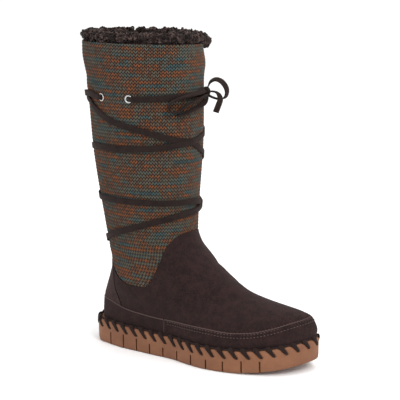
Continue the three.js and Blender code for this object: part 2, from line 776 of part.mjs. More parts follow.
// Directions at the knot: out of the shaft, along it to the inner side, and up.
const knotAround = aroundOf(KNOT_TURN)
const knotHeight = KNOT_RISE * UPPER_HEIGHT
const knotOut = outward(knotAround, knotHeight).setZ(0).normalize()
const knotUp = new THREE.Vector3(0, 0, 1)
const knotSide = knotUp.clone().cross(knotOut).normalize()
const knotMiddle = offsetPoint(knotAround, knotHeight, LACE_GAP + KNOT_DEPTH / 2)

// The knot: a rounded lump with a turn of lace round it.
const KNOT_TURN_WIDTH = 5
function buildKnot() {
  const lump = new THREE.SphereGeometry(0.5, 12, 8)
  lump.scale(KNOT_DEPTH, KNOT_LENGTH, KNOT_HEIGHT)
  const belt = new THREE.CylinderGeometry(0.5, 0.5, KNOT_TURN_WIDTH, 12)
  belt.scale(KNOT_DEPTH, 1, KNOT_HEIGHT)
  const frame = new THREE.Matrix4().makeBasis(knotOut, knotSide, knotUp).setPosition(knotMiddle)
  lump.applyMatrix4(frame)
  belt.applyMatrix4(frame)
  return solidFrom(lump).add(solidFrom(belt))
}

// Stations of a ribbon of the bow that stands free in front of the shaft, with one halfway between
// each two rows of its table.
function bowStations(rows) {
  const knots = rows.map((row) => new THREE.Vector3(row.out, row.side, row.up))
  const curve = new THREE.CatmullRomCurve3(knots, false, 'centripetal')
  const place = (t) => {
    const at = curve.getPoint(Math.min(1, Math.max(0, t)))
    const point = knotMiddle.clone().addScaledVector(knotOut, at.x)
    return point.addScaledVector(knotSide, at.y).addScaledVector(knotUp, at.z)
  }
  const leans = column(rows.map((row, i) => ({ i, lean: row.lean })), 'i', 'lean')
  const last = rows.length - 1
  const stations = []
  for (let row = 0; row <= last; row += 0.5) {
    const lean = THREE.MathUtils.degToRad(leans(row))
    const t = row / last
    const ahead = place(t + NUDGE).sub(place(t - NUDGE)).normalize()
    const wide = knotSide.clone().multiplyScalar(Math.cos(lean))
    wide.addScaledVector(ahead.clone().cross(knotSide).normalize(), Math.sin(lean))
    wide.addScaledVector(ahead, -wide.dot(ahead)).normalize()
    stations.push({ middle: place(t), wide, thick: ahead.clone().cross(wide).normalize() })
  }
  return stations
}

// Frame of an eyelet: its axis points straight out of the shaft.
function eyeletFrame(turn) {
  const height = EYELET_RISE * UPPER_HEIGHT
  const axis = outward(aroundOf(turn), height)
  const right = knotUp.clone().cross(axis).normalize()
  const up = axis.clone().cross(right).normalize()
  return new THREE.Matrix4().makeBasis(right, up, axis).setPosition(surface(aroundOf(turn), height))
}

// A turned shape about the eyelet's axis, from radius and depth pairs.
const EYELET_SIDES = 9
const SEAT_DEPTH = 0.6
function turned(pairs, turn) {
  const profile = pairs.map(([radius, depth]) => new THREE.Vector2(radius, depth))
  const geometry = new THREE.LatheGeometry(profile, EYELET_SIDES)
  geometry.rotateX(Math.PI / 2)
  geometry.applyMatrix4(eyeletFrame(turn))
  return solidFrom(geometry)
}

// What the eyelet takes out of the knit: its hole, and a flat seat pressed in round it.
function eyeletSeat(turn) {
  const wide = EYELET_WIDTH / 2 + SEAT_GAP
  const hole = EYELET_BARREL / 2 + SEAT_GAP
  const deep = UPPER_WALL + 2 * CUT_OVERRUN
  const pairs = [
    [0, -deep],
    [hole, -deep],
    [hole, -SEAT_DEPTH],
    [wide, -SEAT_DEPTH],
    [wide, deep],
    [0, deep],
  ]
  return turned(pairs, turn)
}

// A metal eyelet: a rounded rim on a short barrel.
function buildEyelet(turn) {
  const [rim, barrel, bore] = [EYELET_WIDTH / 2, EYELET_BARREL / 2, EYELET_HOLE / 2]
  const under = SEAT_GAP - SEAT_DEPTH
  const crest = under + EYELET_RIM
  const pairs = [
    [bore, -UPPER_WALL],
    [barrel, -UPPER_WALL],
    [barrel, under],
    [rim, under],
    [(rim + barrel) / 2, crest],
    [bore, (under + crest) / 2],
    [bore, -UPPER_WALL],
  ]
  return turned(pairs, turn)
}

// The fur collar: a soft ring on the knit's top edge with curled locks fused all round it. A
// lock's place from the ring's middle line is a share of the ring's depth and height.
const FUR_INSET = 3.5
const FUR_SIDES = 6
const FUR_WAVE = 0.5
const LOCK_ROWS = [
  { start: 0, out: 0.19, up: -0.06 },
  { start: 0.5, out: 0.04, up: 0.23 },
]
const LOCK_TWIST = 1.3
const LOCK_STRETCH = 0.15
function buildCollar() {
  const uneven = (i, pace) => FUR_WAVE * Math.sin(i * pace)
  const place = (around, out, up) => {
    const point = surface(around, UPPER_HEIGHT)
    const straightOut = outward(around, UPPER_HEIGHT).setZ(0).normalize()
    point.addScaledVector(straightOut, out - FUR_INSET)
    point.z += SEAT_GAP + FUR_HEIGHT / 2 + up
    return point
  }
  const points = []
  const triangles = []
  for (let i = 0; i < FUR_COLUMNS; i++) {
    const next = ((i + 1) % FUR_COLUMNS) * FUR_SIDES
    for (let j = 0; j < FUR_SIDES; j++) {
      const angle = (TURN * (j + 0.5)) / FUR_SIDES
      const out = (Math.cos(angle) * FUR_DEPTH) / 2 + uneven(i, 2.4)
      points.push(place(i / FUR_COLUMNS, out, (Math.sin(angle) * FUR_HEIGHT) / 2))
      const [a, b] = [i * FUR_SIDES + j, i * FUR_SIDES + ((j + 1) % FUR_SIDES)]
      const [c, d] = [next + j, next + ((j + 1) % FUR_SIDES)]
      triangles.push(a, c, d, a, d, b)
    }
  }
  let solid = solidOf(points, triangles)
  for (const { start, out, up } of LOCK_ROWS) {
    for (let i = 0; i < LOCKS_ROUND; i++) {
      const lock = new THREE.IcosahedronGeometry(LOCK_RADIUS, 0)
      lock.rotateZ(i * LOCK_TWIST)
      lock.scale(1, 1, 1 + LOCK_STRETCH * uneven(i, 3.1))
      const reach = out * FUR_DEPTH + uneven(i, 2.1)
      const point = place((i + start) / LOCKS_ROUND, reach, up * FUR_HEIGHT + uneven(i, 1.7))
      lock.translate(point.x, point.y, point.z)
      solid = solid.add(solidFrom(lock))
    }
  }
  return solid
}

// The dark cord along the sole's top edge. Each stitch grows out of its outer face and slants down
// over the sole's edge. Rings of four corners: low outside, low inside, high inside, high outside.
const CORD_INSET = 0.9
const STITCH_OFF = 4 * SEAT_GAP
const STITCH_SLANT = 0.6
function buildWhipstitch() {
  const walk = [0]
  const fine = WALK_STEPS * OUTLINE.length
  for (let i = 1; i <= fine; i++) {
    const [before, here] = [outlinePoint((i - 1) / fine, 0), outlinePoint(i / fine, 0)]
    walk.push(walk[i - 1] + here.distanceTo(before))
  }
  const aroundAt = (distance) => {
    const goal = ((distance % walk[fine]) + walk[fine]) % walk[fine]
    let i = 1
    while (walk[i] < goal) i++
    return (i - 1 + (goal - walk[i - 1]) / (walk[i] - walk[i - 1])) / fine
  }
  const corner = (distance, out, up) => {
    const { x, y } = outlinePoint(aroundAt(distance), out)
    return new THREE.Vector3(x, y, soleTop(x) + up)
  }
  const count = Math.round(walk[fine] / STITCH_PITCH)
  const run = STITCH_LENGTH * STITCH_SLANT
  const fall = STITCH_LENGTH * Math.sqrt(1 - STITCH_SLANT ** 2)
  const outside = CORD_THICKNESS / 2 - CORD_INSET
  const inside = -CORD_THICKNESS / 2 - CORD_INSET
  const points = []
  const triangles = []
  const quad = (a, b, c, d) => triangles.push(a, b, c, a, c, d)
  for (let i = 0; i < count; i++) {
    const start = (walk[fine] * i) / count
    for (const edge of [start - STITCH_WIDTH / 2, start + STITCH_WIDTH / 2]) {
      points.push(corner(edge, outside, SEAT_GAP))
      points.push(corner(edge, inside, SEAT_GAP))
      points.push(corner(edge, inside, SEAT_GAP + CORD_THICKNESS))
      points.push(corner(edge, outside, SEAT_GAP + CORD_THICKNESS))
    }
  }
  for (let i = 0; i < 2 * count; i++) {
    const here = 4 * i
    const next = (4 * (i + 1)) % (8 * count)
    for (let j = 0; j < 3; j++) quad(here + j, here + j + 1, next + j + 1, next + j)
    if (i % 2 === 1) {
      quad(here + 3, here, next, next + 3)
      continue
    }
    const start = (walk[fine] * i) / 2 / count + run
    const foot = points.length
    for (const edge of [start - STITCH_WIDTH / 2, start + STITCH_WIDTH / 2]) {
      points.push(corner(edge, STITCH_OFF, -fall))
      points.push(corner(edge, STITCH_OFF + STITCH_DEPTH, -fall))
    }
    quad(here + 3, here, foot, foot + 1)
    quad(here, next, foot + 2, foot)
    quad(next, next + 3, foot + 3, foot + 2)
    quad(next + 3, here + 3, foot + 1, foot + 3)
    quad(foot + 1, foot, foot + 2, foot + 3)
  }
  return solidOf(points, triangles)
}

const group = new THREE.Group()

// Adds a named piece in its own material.
function addPart(name, solid, look) {
  const part = new THREE.Mesh(geometryOf(solid), new THREE.MeshStandardMaterial(LOOKS[look]))
  part.name = name
  group.add(part)
}

addPart('outsole', buildOutsole(), 'gum')
addPart('insole', buildInsole(), 'footbed')
addPart('upper', buildUpper(), 'knit')
addPart('vamp', buildVamp(), 'suede')
addPart('heel_counter', buildCounter(), 'suede')
addPart('band_rear', buildBand(true), 'suede')
addPart('band_front', buildBand(false), 'suede')
addPart('whipstitch', buildWhipstitch(), 'lace')
addPart('fur_collar', buildCollar(), 'sherpa')
for (const [name, turn] of Object.entries(EYELETS)) addPart(name, buildEyelet(turn), 'steel')
addPart('lace_wraps', buildWraps(), 'lace')
addPart('lace_bar_lateral', buildBar(EYELETS.eyelet_lateral_front), 'lace')
addPart('lace_bar_medial', buildBar(EYELETS.eyelet_medial_front), 'lace')
addPart('lace_knot', buildKnot(), 'lace')
for (const [name, rows] of Object.entries(BOW)) {
  addPart(name, ribbon(bowStations(rows), LACE_WIDTH, BOW_THICKNESS), 'lace')
}
for (const [name, rows] of Object.entries(SHAFT_BOW)) {
  addPart(name, ribbon(shaftStations(rows, BOW_STEP), LACE_WIDTH, BOW_THICKNESS), 'lace')
}

// The origin: on the floor, under the middle of the boot without its bow.
const bow = ['lace_knot', ...Object.keys(BOW), ...Object.keys(SHAFT_BOW)]
const boot = new THREE.Box3()
for (const part of group.children) {
  if (!bow.includes(part.name)) boot.expandByObject(part)
}
const middle = boot.getCenter(new THREE.Vector3())
group.position.set(-middle.x, -middle.y, 0)

export default group
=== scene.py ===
# %% [markdown]
# # A knitted mukluk boot
#
# This lesson dresses a finished model of a tall winter boot: a knitted shaft, a suede foot, a gum sole
# sewn on with a thick cord, a curly fleece collar, and a flat lace wound round the shaft and tied in a
# bow. The model gives every piece its size and place. Each step below gives one piece its real surface.

# %% Load the model
import math

import bpy
import numpy as np
from mathutils import Matrix, Vector, kdtree


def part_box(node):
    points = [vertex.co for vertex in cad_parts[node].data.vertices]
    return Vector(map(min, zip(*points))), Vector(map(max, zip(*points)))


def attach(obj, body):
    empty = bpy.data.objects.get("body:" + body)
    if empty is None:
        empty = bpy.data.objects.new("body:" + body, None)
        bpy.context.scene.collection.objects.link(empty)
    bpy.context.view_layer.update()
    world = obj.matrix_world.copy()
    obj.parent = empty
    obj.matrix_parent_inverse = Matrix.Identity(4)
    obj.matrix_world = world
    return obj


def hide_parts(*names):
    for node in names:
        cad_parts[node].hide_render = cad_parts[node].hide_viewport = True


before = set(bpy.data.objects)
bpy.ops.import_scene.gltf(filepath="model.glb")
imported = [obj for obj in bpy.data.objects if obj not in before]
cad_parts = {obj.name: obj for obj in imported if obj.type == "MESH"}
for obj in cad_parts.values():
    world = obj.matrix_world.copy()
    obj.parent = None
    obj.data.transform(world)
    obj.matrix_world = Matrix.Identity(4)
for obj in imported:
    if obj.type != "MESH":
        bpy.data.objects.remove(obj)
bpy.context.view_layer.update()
MM = 0.001
BODY = "root"

# %% [markdown]
# ## The look of the room
#
# A shop photograph of a boot has a pale floor that runs into a white wall and large soft lights. A long
# lens keeps the boot's proportions. The camera stands 31 degrees round from the boot's outer side and a
# little above it. It is aimed with a tracking rotation instead of by hand, so that it stays level.

# %% Camera, floor and lights
CAMERA_PLACE = Vector((0.6396, -1.0577, 0.410))
CAMERA_TARGET = Vector((0.0040, 0.0, 0.170))
SENSOR = 36.0
LENS = 105.4
FLOOR_SIZE = 12.0
SKY_STRENGTH = 1.08

lens_data = bpy.data.cameras.new("camera")
lens_data.sensor_width = SENSOR
lens_data.lens = LENS
lens_data.clip_start = 0.05
camera = bpy.data.objects.new("camera", lens_data)
bpy.context.scene.collection.objects.link(camera)
camera.location = CAMERA_PLACE
camera.rotation_euler = (CAMERA_TARGET - CAMERA_PLACE).to_track_quat("-Z", "Y").to_euler()
bpy.context.scene.camera = camera


def linear(code):
    """Turn an sRGB hex colour such as #a06e52 to the linear values that Blender works with."""
    parts = [int(code[i:i + 2], 16) / 255 for i in (1, 3, 5)]
    return tuple(p / 12.92 if p <= 0.04045 else ((p + 0.055) / 1.055) ** 2.4 for p in parts) + (1.0,)


def add(tree, kind, links=None, **settings):
    """Add a shader node, set its properties, and fill its inputs with values or links."""
    node = tree.nodes.new(kind)
    for name, value in settings.items():
        setattr(node, name, value)
    for name, source in (links or {}).items():
        if isinstance(source, bpy.types.NodeSocket):
            tree.links.new(source, node.inputs[name])
        else:
            node.inputs[name].default_value = source
    return node


def new_material(name):
    """Start a material with an empty node tree and its output."""
    material = bpy.data.materials.new(name)
    material.use_nodes = True
    tree = material.node_tree
    tree.nodes.clear()
    output = tree.nodes.new("ShaderNodeOutputMaterial")
    return material, tree, output


bpy.ops.object.select_all(action="DESELECT")
bpy.ops.mesh.primitive_plane_add(size=FLOOR_SIZE)
floor = bpy.context.object
floor.name = "floor"
# Matt white paint, rolled on: no shine, so that only the soft shadow under the sole shows.
floor_paint, tree, output = new_material("white_floor_paint")
surface = add(tree, "ShaderNodeBsdfPrincipled", {"Base Color": linear("#f8f8f8"), "Roughness": 0.9})
tree.links.new(surface.outputs[0], output.inputs[0])
floor.data.materials.append(floor_paint)

world = bpy.data.worlds.new("studio")
world.use_nodes = True
world.node_tree.nodes["Background"].inputs["Color"].default_value = (1, 1, 1, 1)
world.node_tree.nodes["Background"].inputs["Strength"].default_value = SKY_STRENGTH
bpy.context.scene.world = world
bpy.context.scene.view_settings.view_transform = "Standard"

LIGHTS = (
    ("key", (1.9, -0.9, 2.0), 1.2, 36.0),
    ("left", (-1.9, -1.0, 1.4), 1.4, 2.0),
    ("top", (0.3, 0.3, 2.4), 1.4, 16.0),
)
for name, place, size, power in LIGHTS:
    lamp_data = bpy.data.lights.new(name, "AREA")
    lamp_data.size = size
    lamp_data.energy = power
    lamp = bpy.data.objects.new(name, lamp_data)
    bpy.context.scene.collection.objects.link(lamp)
    lamp.location = place
    lamp.rotation_euler = (CAMERA_TARGET - Vector(place)).to_track_quat("-Z", "Y").to_euler()
print("a", LENS, "mm lens and", len(LIGHTS), "soft lights")

# %% [markdown]
# ## The last in numbers
#
# A boot is made over a last, and every piece of this one follows the last's outside. The tables below
# give its level sections from heel to toe and from sole to collar, as shares of a few real sizes. A
# smooth curve through each column then gives any section between two rows. With it, a sheet can be laid
# on the boot by giving only how far round and how high each of its points is.

# %% Sizes in millimetres
SOLE_LENGTH = 265.0
BALL_WIDTH = 99.0
HEEL_THICKNESS = 27.0
FOREFOOT_THICKNESS = 24.0
TOE_SPRING = 11.5
TOE_BEND = 13.0
HEEL_BEVEL = 3.0
SOLE_LEDGE = 2.7
UPPER_HEIGHT = 311.7
INSTEP_HEIGHT = 110.0
SHAFT_LENGTH = 142.3
SHAFT_WIDTH = 111.0
COLLAR_DIP = 4.0
SEAT = FOREFOOT_THICKNESS + 0.3
SPRING_START = 0.66
SPRING_FADE = 0.76

OUTLINE = (
    ("along", "outer", "inner"),
    (0, 0.657, 0.657),
    (0.03, 0.621, 0.636),
    (0.09, 0.499, 0.529),
    (0.17, 0.452, 0.45),
    (0.3, 0.404, 0.336),
    (0.42, 0.395, 0.345),
    (0.52, 0.455, 0.416),
    (0.62, 0.522, 0.483),
    (0.7, 0.549, 0.521),
    (0.78, 0.579, 0.534),
    (0.86, 0.613, 0.533),
    (0.93, 0.636, 0.51),
    (0.98, 0.586, 0.424),
    (1, 0.545, 0.404),
)
FOOT = (
    ("rise", "back", "front", "round", "flare", "width", "widest"),
    (0, 0.0264, 0.985, 0, 0.96, 0.45, 0.38),
    (0.073, 0.0264, 0.991, 0, 0.97, 0.45, 0.38),
    (0.145, 0.028, 0.983, 0.07, 0.97, 0.447, 0.37),
    (0.209, 0.0294, 0.967, 0.2, 0.955, 0.444, 0.365),
    (0.264, 0.0313, 0.936, 0.4, 0.94, 0.437, 0.36),
    (0.309, 0.037, 0.887, 0.65, 0.9, 0.43, 0.35),
    (0.364, 0.0457, 0.808, 0.87, 0.9, 0.424, 0.345),
    (0.427, 0.0555, 0.725, 1, 0.9, 0.42, 0.36),
    (0.5, 0.0642, 0.67, 1, 0.9, 0.417, 0.39),
    (0.582, 0.0721, 0.615, 1, 0.9, 0.414, 0.43),
    (0.673, 0.0728, 0.566, 1, 0.9, 0.41, 0.455),
    (0.773, 0.0634, 0.522, 1, 0.9, 0.41, 0.475),
    (0.882, 0.0566, 0.477, 1, 0.9, 0.418, 0.49),
)
SHAFT = (
    ("rise", "centre", "girth"),
    (0, 0.252, 0.766),
    (0.13, 0.2459, 0.804),
    (0.3, 0.2409, 0.855),
    (0.48, 0.2351, 0.898),
    (0.66, 0.2285, 0.925),
    (0.83, 0.2216, 0.961),
    (1, 0.2202, 1),
)
SCALLOP = (
    ("along", "rise"),
    (-0.08, 0.67),
    (0.1, 0.635),
    (0.15, 0.545),
    (0.19, 0.495),
    (0.235, 0.468),
    (0.31, 0.468),
    (0.335, 0.5),
    (0.36, 0.6),
    (0.383, 0.727),
    (0.398, 0.855),
    (0.416, 0.936),
    (0.438, 0.991),
    (0.5, 1.04),
)
BAND_EDGE = (
    ("along", "rise"),
    (-0.08, 0.25),
    (0.09, 0.24),
    (0.15, 0.218),
    (0.19, 0.198),
    (0.275, 0.178),
    (0.38, 0.167),
    (0.6, 0.175),
    (0.7, 0.165),
    (0.79, 0.18),
    (0.875, 0.227),
    (0.936, 0.27),
    (1.03, 0.31),
)
BAND_JOINT = 0.396
COUNTER_TOP = (0.118, 0.64)
COUNTER_FOOT = (0.175, 0.2)


def smooth_curve(at, value):
    """A smooth curve through points that never swings past them."""
    at, value = np.array(at, float), np.array(value, float)
    slope = np.diff(value) / np.diff(at)
    before, after = slope[:-1], slope[1:]
    total = np.where(before + after == 0, 1, before + after)
    inner = np.where(before * after <= 0, 0, 2 * before * after / total)
    tangent = np.concatenate([slope[:1], inner, slope[-1:]])

    def read(where):
        place = np.clip(where, at[0], at[-1])
        i = np.clip(np.searchsorted(at, place, side="right") - 1, 0, len(at) - 2)
        span = at[i + 1] - at[i]
        t = (place - at[i]) / span
        ends = value[i] * (1 + 2 * t) * (1 - t) ** 2 + value[i + 1] * t * t * (3 - 2 * t)
        return ends + span * (tangent[i] * t * (1 - t) ** 2 - tangent[i + 1] * t * t * (1 - t))

    return read


def column(table, name):
    """A table's named column as a smooth curve over its first column."""
    where = table[0].index(name)
    return smooth_curve([row[0] for row in table[1:]], [row[where] for row in table[1:]])


outline_outer = column(OUTLINE, "outer")
outline_inner = column(OUTLINE, "inner")

sections = [[rise * INSTEP_HEIGHT, back * SOLE_LENGTH, front * SOLE_LENGTH, roundness, flare,
             width * BALL_WIDTH, widest]
            for rise, back, front, roundness, flare, width, widest in FOOT[1:]]
for rise, centre, girth in SHAFT[1:]:
    height = INSTEP_HEIGHT + rise * (UPPER_HEIGHT - INSTEP_HEIGHT)
    middle = centre * SOLE_LENGTH
    reach = girth * SHAFT_LENGTH / 2
    sections.append([height, middle - reach, middle + reach, 1, 0.9, girth * SHAFT_WIDTH / 2, 0.5])
heights = [row[0] for row in sections]
SECTION_COLUMNS = ("back", "front", "round", "flare", "half", "widest")
section = {name: smooth_curve(heights, [row[i + 1] for row in sections])
           for i, name in enumerate(SECTION_COLUMNS)}


BIG_TOE_FROM = 0.45


def centre_line(x):
    """How far the foot's middle line has swung inwards at x, towards the big toe."""
    return TOE_BEND * np.maximum(0, (x / SOLE_LENGTH - BIG_TOE_FROM) / (1 - BIG_TOE_FROM)) ** 2


def sole_bottom(x):
    """Height of the sole's underside over the floor."""
    share = x / SOLE_LENGTH
    toe = np.maximum(0, (share - SPRING_START) / (1 - SPRING_START)) ** 2
    heel = np.maximum(0, 1 - share / 0.06) ** 2
    return TOE_SPRING * toe + HEEL_BEVEL * heel


def sole_top(x):
    """Height of the sole's top over the floor."""
    share = x / SOLE_LENGTH
    toe = np.maximum(0, (share - SPRING_START) / (1 - SPRING_START)) ** 2
    fall = np.clip(share / 0.6, 0, 1)
    wedge = (HEEL_THICKNESS - FOREFOOT_THICKNESS) * (1 - fall * fall * (3 - 2 * fall))
    return FOREFOOT_THICKNESS + wedge + TOE_SPRING * toe


def last(around, height):
    """A point of the upper's outside. around runs from 0 at the back over the outer side to 1."""
    angle = 2 * np.pi * np.asarray(around, float)
    share = np.clip((1 - np.cos(angle)) / 2, 1e-6, 1 - 1e-6)
    x = section["back"](height) + (section["front"](height) - section["back"](height)) * share
    below = x / SOLE_LENGTH
    edge = np.where(np.sin(angle) > 0, outline_outer(below), outline_inner(below)) * BALL_WIDTH
    plain = section["flare"](height) * edge - SOLE_LEDGE
    widest = section["widest"](height)
    before = (2 * widest - share) / (4 * widest * widest * (1 - share))
    after = (1 - 2 * widest + share) / (4 * (1 - widest) * (1 - widest) * share)
    oval = section["half"](height) * np.sqrt(np.where(share < widest, before, after))
    roundness = section["round"](height)
    fullness = (1 - roundness) * plain + roundness * oval
    fade = np.maximum(0, 1 - height / (SPRING_FADE * INSTEP_HEIGHT))
    lift = (sole_top(x) - FOREFOOT_THICKNESS) * fade
    dip = np.maximum(0, (height / UPPER_HEIGHT - 0.8) / 0.2)
    z = SEAT + height + lift - COLLAR_DIP * share * dip * dip
    return np.stack([x, centre_line(x) - fullness * np.sin(angle), z * np.ones_like(x)], axis=-1)


def outward(around, height):
    """The direction straight out of the last at a point."""
    around = np.asarray(around, float)
    height = np.asarray(height, float)
    across = last(around + 0.002, height) - last(around - 0.002, height)
    up = last(around, height + 1) - last(around, np.maximum(0, height - 1))
    normal = np.cross(across, up)
    return normal / np.linalg.norm(normal, axis=-1, keepdims=True)


def on_last(around, height, off):
    """A point of the last, moved straight out by a distance."""
    return last(around, height) + outward(around, height) * np.asarray(off)[..., None]


def outline_point(around, distance):
    """A point of the sole's outline, moved straight out by a distance."""
    def at(where):
        angle = 2 * np.pi * where
        share = (1 - np.cos(angle)) / 2
        half = np.where(np.sin(angle) > 0, outline_outer(share), outline_inner(share)) * BALL_WIDTH
        x = share * SOLE_LENGTH
        return np.stack([x, centre_line(x) - half * np.sin(angle)], axis=-1)
    around = np.asarray(around, float)
    along = at(around + 0.002) - at(around - 0.002)
    along = along / np.linalg.norm(along, axis=-1, keepdims=True)
    out = np.stack([along[..., 1], -along[..., 0]], axis=-1)
    return at(around) + out * np.asarray(distance)[..., None]


ring = outline_point(np.arange(56) / 56, 0.0)
sole_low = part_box("outsole")[0]
SHIFT = np.array([sole_low[0] / MM - ring[:, 0].min(), sole_low[1] / MM - ring[:, 1].min(), 0.0])
print("the last's own frame is moved by", SHIFT, "mm")


def edge_height(table, around):
    """Height on the last, at each place round it, of an edge that is given as seen from the side."""
    edge = column(table, "rise")
    low = np.zeros_like(around)
    high = np.full_like(around, 1.25 * INSTEP_HEIGHT)
    for _ in range(30):
        middle = (low + high) / 2
        point = last(around, middle)
        over = point[..., 2] - SEAT > edge(point[..., 0] / SOLE_LENGTH) * INSTEP_HEIGHT
        high = np.where(over, middle, high)
        low = np.where(over, low, middle)
    return (low + high) / 2


def turn_to_around(turn):
    """Place round the last for a turn in degrees, counted from the toe over the inner side."""
    return ((np.asarray(turn, float) - 180) / 360) % 1.0


# %% [markdown]
# ## Helpers that lay sheets and ribbons
#
# A sheet starts as Blender's plain grid. Its points are then laid on the last, row by row, and its UV map
# says how far along and across each point lies, in metres for leather and in stitches for the knit.
# Ribbons are swept through stations that each say where the middle lies and which way the width points.

# %% Sheets and ribbons
made = []


def finish_piece(piece, material, smooth=True):
    """Give a piece its material and ride it on the boot."""
    made.append(piece)
    piece.data.materials.clear()
    piece.data.materials.append(material)
    if smooth:
        piece.data.shade_smooth()
    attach(piece, BODY)


def only(piece):
    """Select one piece alone and make it active."""
    bpy.ops.object.select_all(action="DESELECT")
    piece.select_set(True)
    bpy.context.view_layer.objects.active = piece


def join(pieces):
    """Join pieces to the first of them."""
    only(pieces[0])
    for piece in pieces[1:]:
        piece.select_set(True)
    bpy.ops.object.join()


def faces_outwards(piece):
    """Turn all faces of a closed mesh outwards."""
    only(piece)
    bpy.ops.object.mode_set(mode="EDIT")
    bpy.ops.mesh.select_all(action="SELECT")
    bpy.ops.mesh.normals_make_consistent(inside=False)
    bpy.ops.object.mode_set(mode="OBJECT")


def lay_sheet(name, points, uv=None, flip=False):
    """A grid whose points are given in rows, in millimetres of the last's own frame."""
    rows, columns = points.shape[:2]
    bpy.ops.object.select_all(action="DESELECT")
    bpy.ops.mesh.primitive_grid_add(x_subdivisions=columns - 1, y_subdivisions=rows - 1, size=1)
    piece = bpy.context.object
    piece.name = name
    piece.data.vertices.foreach_set("co", ((points.reshape(-1, 3) + SHIFT) * MM).ravel())
    if uv is not None:
        corner = np.empty(len(piece.data.loops), int)
        piece.data.loops.foreach_get("vertex_index", corner)
        piece.data.uv_layers.active.data.foreach_set("uv", uv.reshape(-1, 2)[corner].ravel())
    piece.data.update()
    only(piece)
    bpy.ops.object.mode_set(mode="EDIT")
    bpy.ops.mesh.select_all(action="SELECT")
    bpy.ops.mesh.remove_doubles(threshold=1e-6)
    if flip:
        bpy.ops.mesh.flip_normals()
    bpy.ops.object.mode_set(mode="OBJECT")
    return piece


def apply_modifier(piece, kind, **settings):
    """Add a modifier with its settings and apply it."""
    only(piece)
    modifier = piece.modifiers.new(kind.lower(), kind)
    for name, value in settings.items():
        setattr(modifier, name, value)
    bpy.ops.object.modifier_apply(modifier=modifier.name)


def mesh_piece(name, vertices, faces, uv=None):
    """A piece from lists of points in metres and of faces."""
    mesh = bpy.data.meshes.new(name)
    mesh.from_pydata([tuple(v) for v in vertices], [], [tuple(f) for f in faces])
    mesh.update()
    if uv is not None:
        layer = mesh.uv_layers.new(name="UVMap")
        corner = np.empty(len(mesh.loops), int)
        mesh.loops.foreach_get("vertex_index", corner)
        layer.data.foreach_set("uv", np.asarray(uv, float)[corner].ravel())
    piece = bpy.data.objects.new(name, mesh)
    bpy.context.scene.collection.objects.link(piece)
    return piece


RIBBON_CORNER = ((-1, -0.3), (-0.93, -1), (-0.4, -1), (0.4, -1), (0.93, -1), (1, -0.3),
                 (1, 0.3), (0.93, 1), (0.4, 1), (-0.4, 1), (-0.93, 1), (-1, 0.3))


def sweep(name, middle, wide, thick, width, thickness, corners=RIBBON_CORNER):
    """A ribbon or cord through stations: its middle, and the directions of width and thickness."""
    count, sides = len(middle), len(corners)
    width = np.broadcast_to(width, count)
    thickness = np.broadcast_to(thickness, count)
    rings = []
    for w, t in corners:
        rings.append(middle + wide * (w * width / 2)[:, None] + thick * (t * thickness / 2)[:, None])
    points = np.stack(rings, axis=1).reshape(-1, 3)
    walked = np.concatenate([[0], np.cumsum(np.linalg.norm(np.diff(middle, axis=0), axis=1))])
    across = np.array([w for w, t in corners])
    uv = np.stack([np.repeat(walked, sides) * MM,
                   (np.tile(across, count) * np.repeat(width, sides) / 2 + 5) * MM], axis=-1)
    faces = []
    for r in range(count - 1):
        for i in range(sides):
            a, b = r * sides + i, r * sides + (i + 1) % sides
            faces.append((a, b, b + sides, a + sides))
    faces.append(tuple(range(sides - 1, -1, -1)))
    faces.append(tuple((count - 1) * sides + i for i in range(sides)))
    piece = mesh_piece(name, (points + SHIFT) * MM, faces, uv)
    faces_outwards(piece)
    return piece


def unit(vectors):
    """Vectors brought to length one."""
    return vectors / np.maximum(1e-9, np.linalg.norm(vectors, axis=-1, keepdims=True))


def through(points, step):
    """A smooth path through points, cut into even steps: rows of as many columns as were given."""
    points = np.array(points, float)
    padded = np.vstack([2 * points[0] - points[1], points, 2 * points[-1] - points[-2]])
    fine = []
    for i in range(1, len(padded) - 2):
        a, b, c, d = padded[i - 1], padded[i], padded[i + 1], padded[i + 2]
        for t in np.arange(0, 1, 1 / 24):
            fine.append(0.5 * (2 * b + (c - a) * t + (2 * a - 5 * b + 4 * c - d) * t * t
                               + (3 * b - a - 3 * c + d) * t ** 3))
    fine.append(points[-1])
    fine = np.array(fine)
    walked = np.concatenate([[0], np.cumsum(np.linalg.norm(np.diff(fine, axis=0)[:, :3], axis=1))])
    count = max(3, int(round(walked[-1] / step)) + 1)
    goals = np.linspace(0, walked[-1], count)
    return np.stack([np.interp(goals, walked, fine[:, k]) for k in range(fine.shape[1])], axis=1)


print("a ribbon has", len(RIBBON_CORNER), "corners")

# %% [markdown]
# ## The lace as a dark suede strap
#
# The lace is a flat strap cut from split leather, so it has a soft nap and no shine. The
# nap is drawn with two sizes of noise: one for the brushed patches that the eye sees from far, and one
# for the fibres, which are drawn a little coarser than they are so that they show at all.

# %% Suede lace
FIBRE = 0.001  # metres; a real fibre is finer than a pixel, so it is drawn this coarse
PATCH = 0.009  # metres, what one stroke of the brush lays the same way


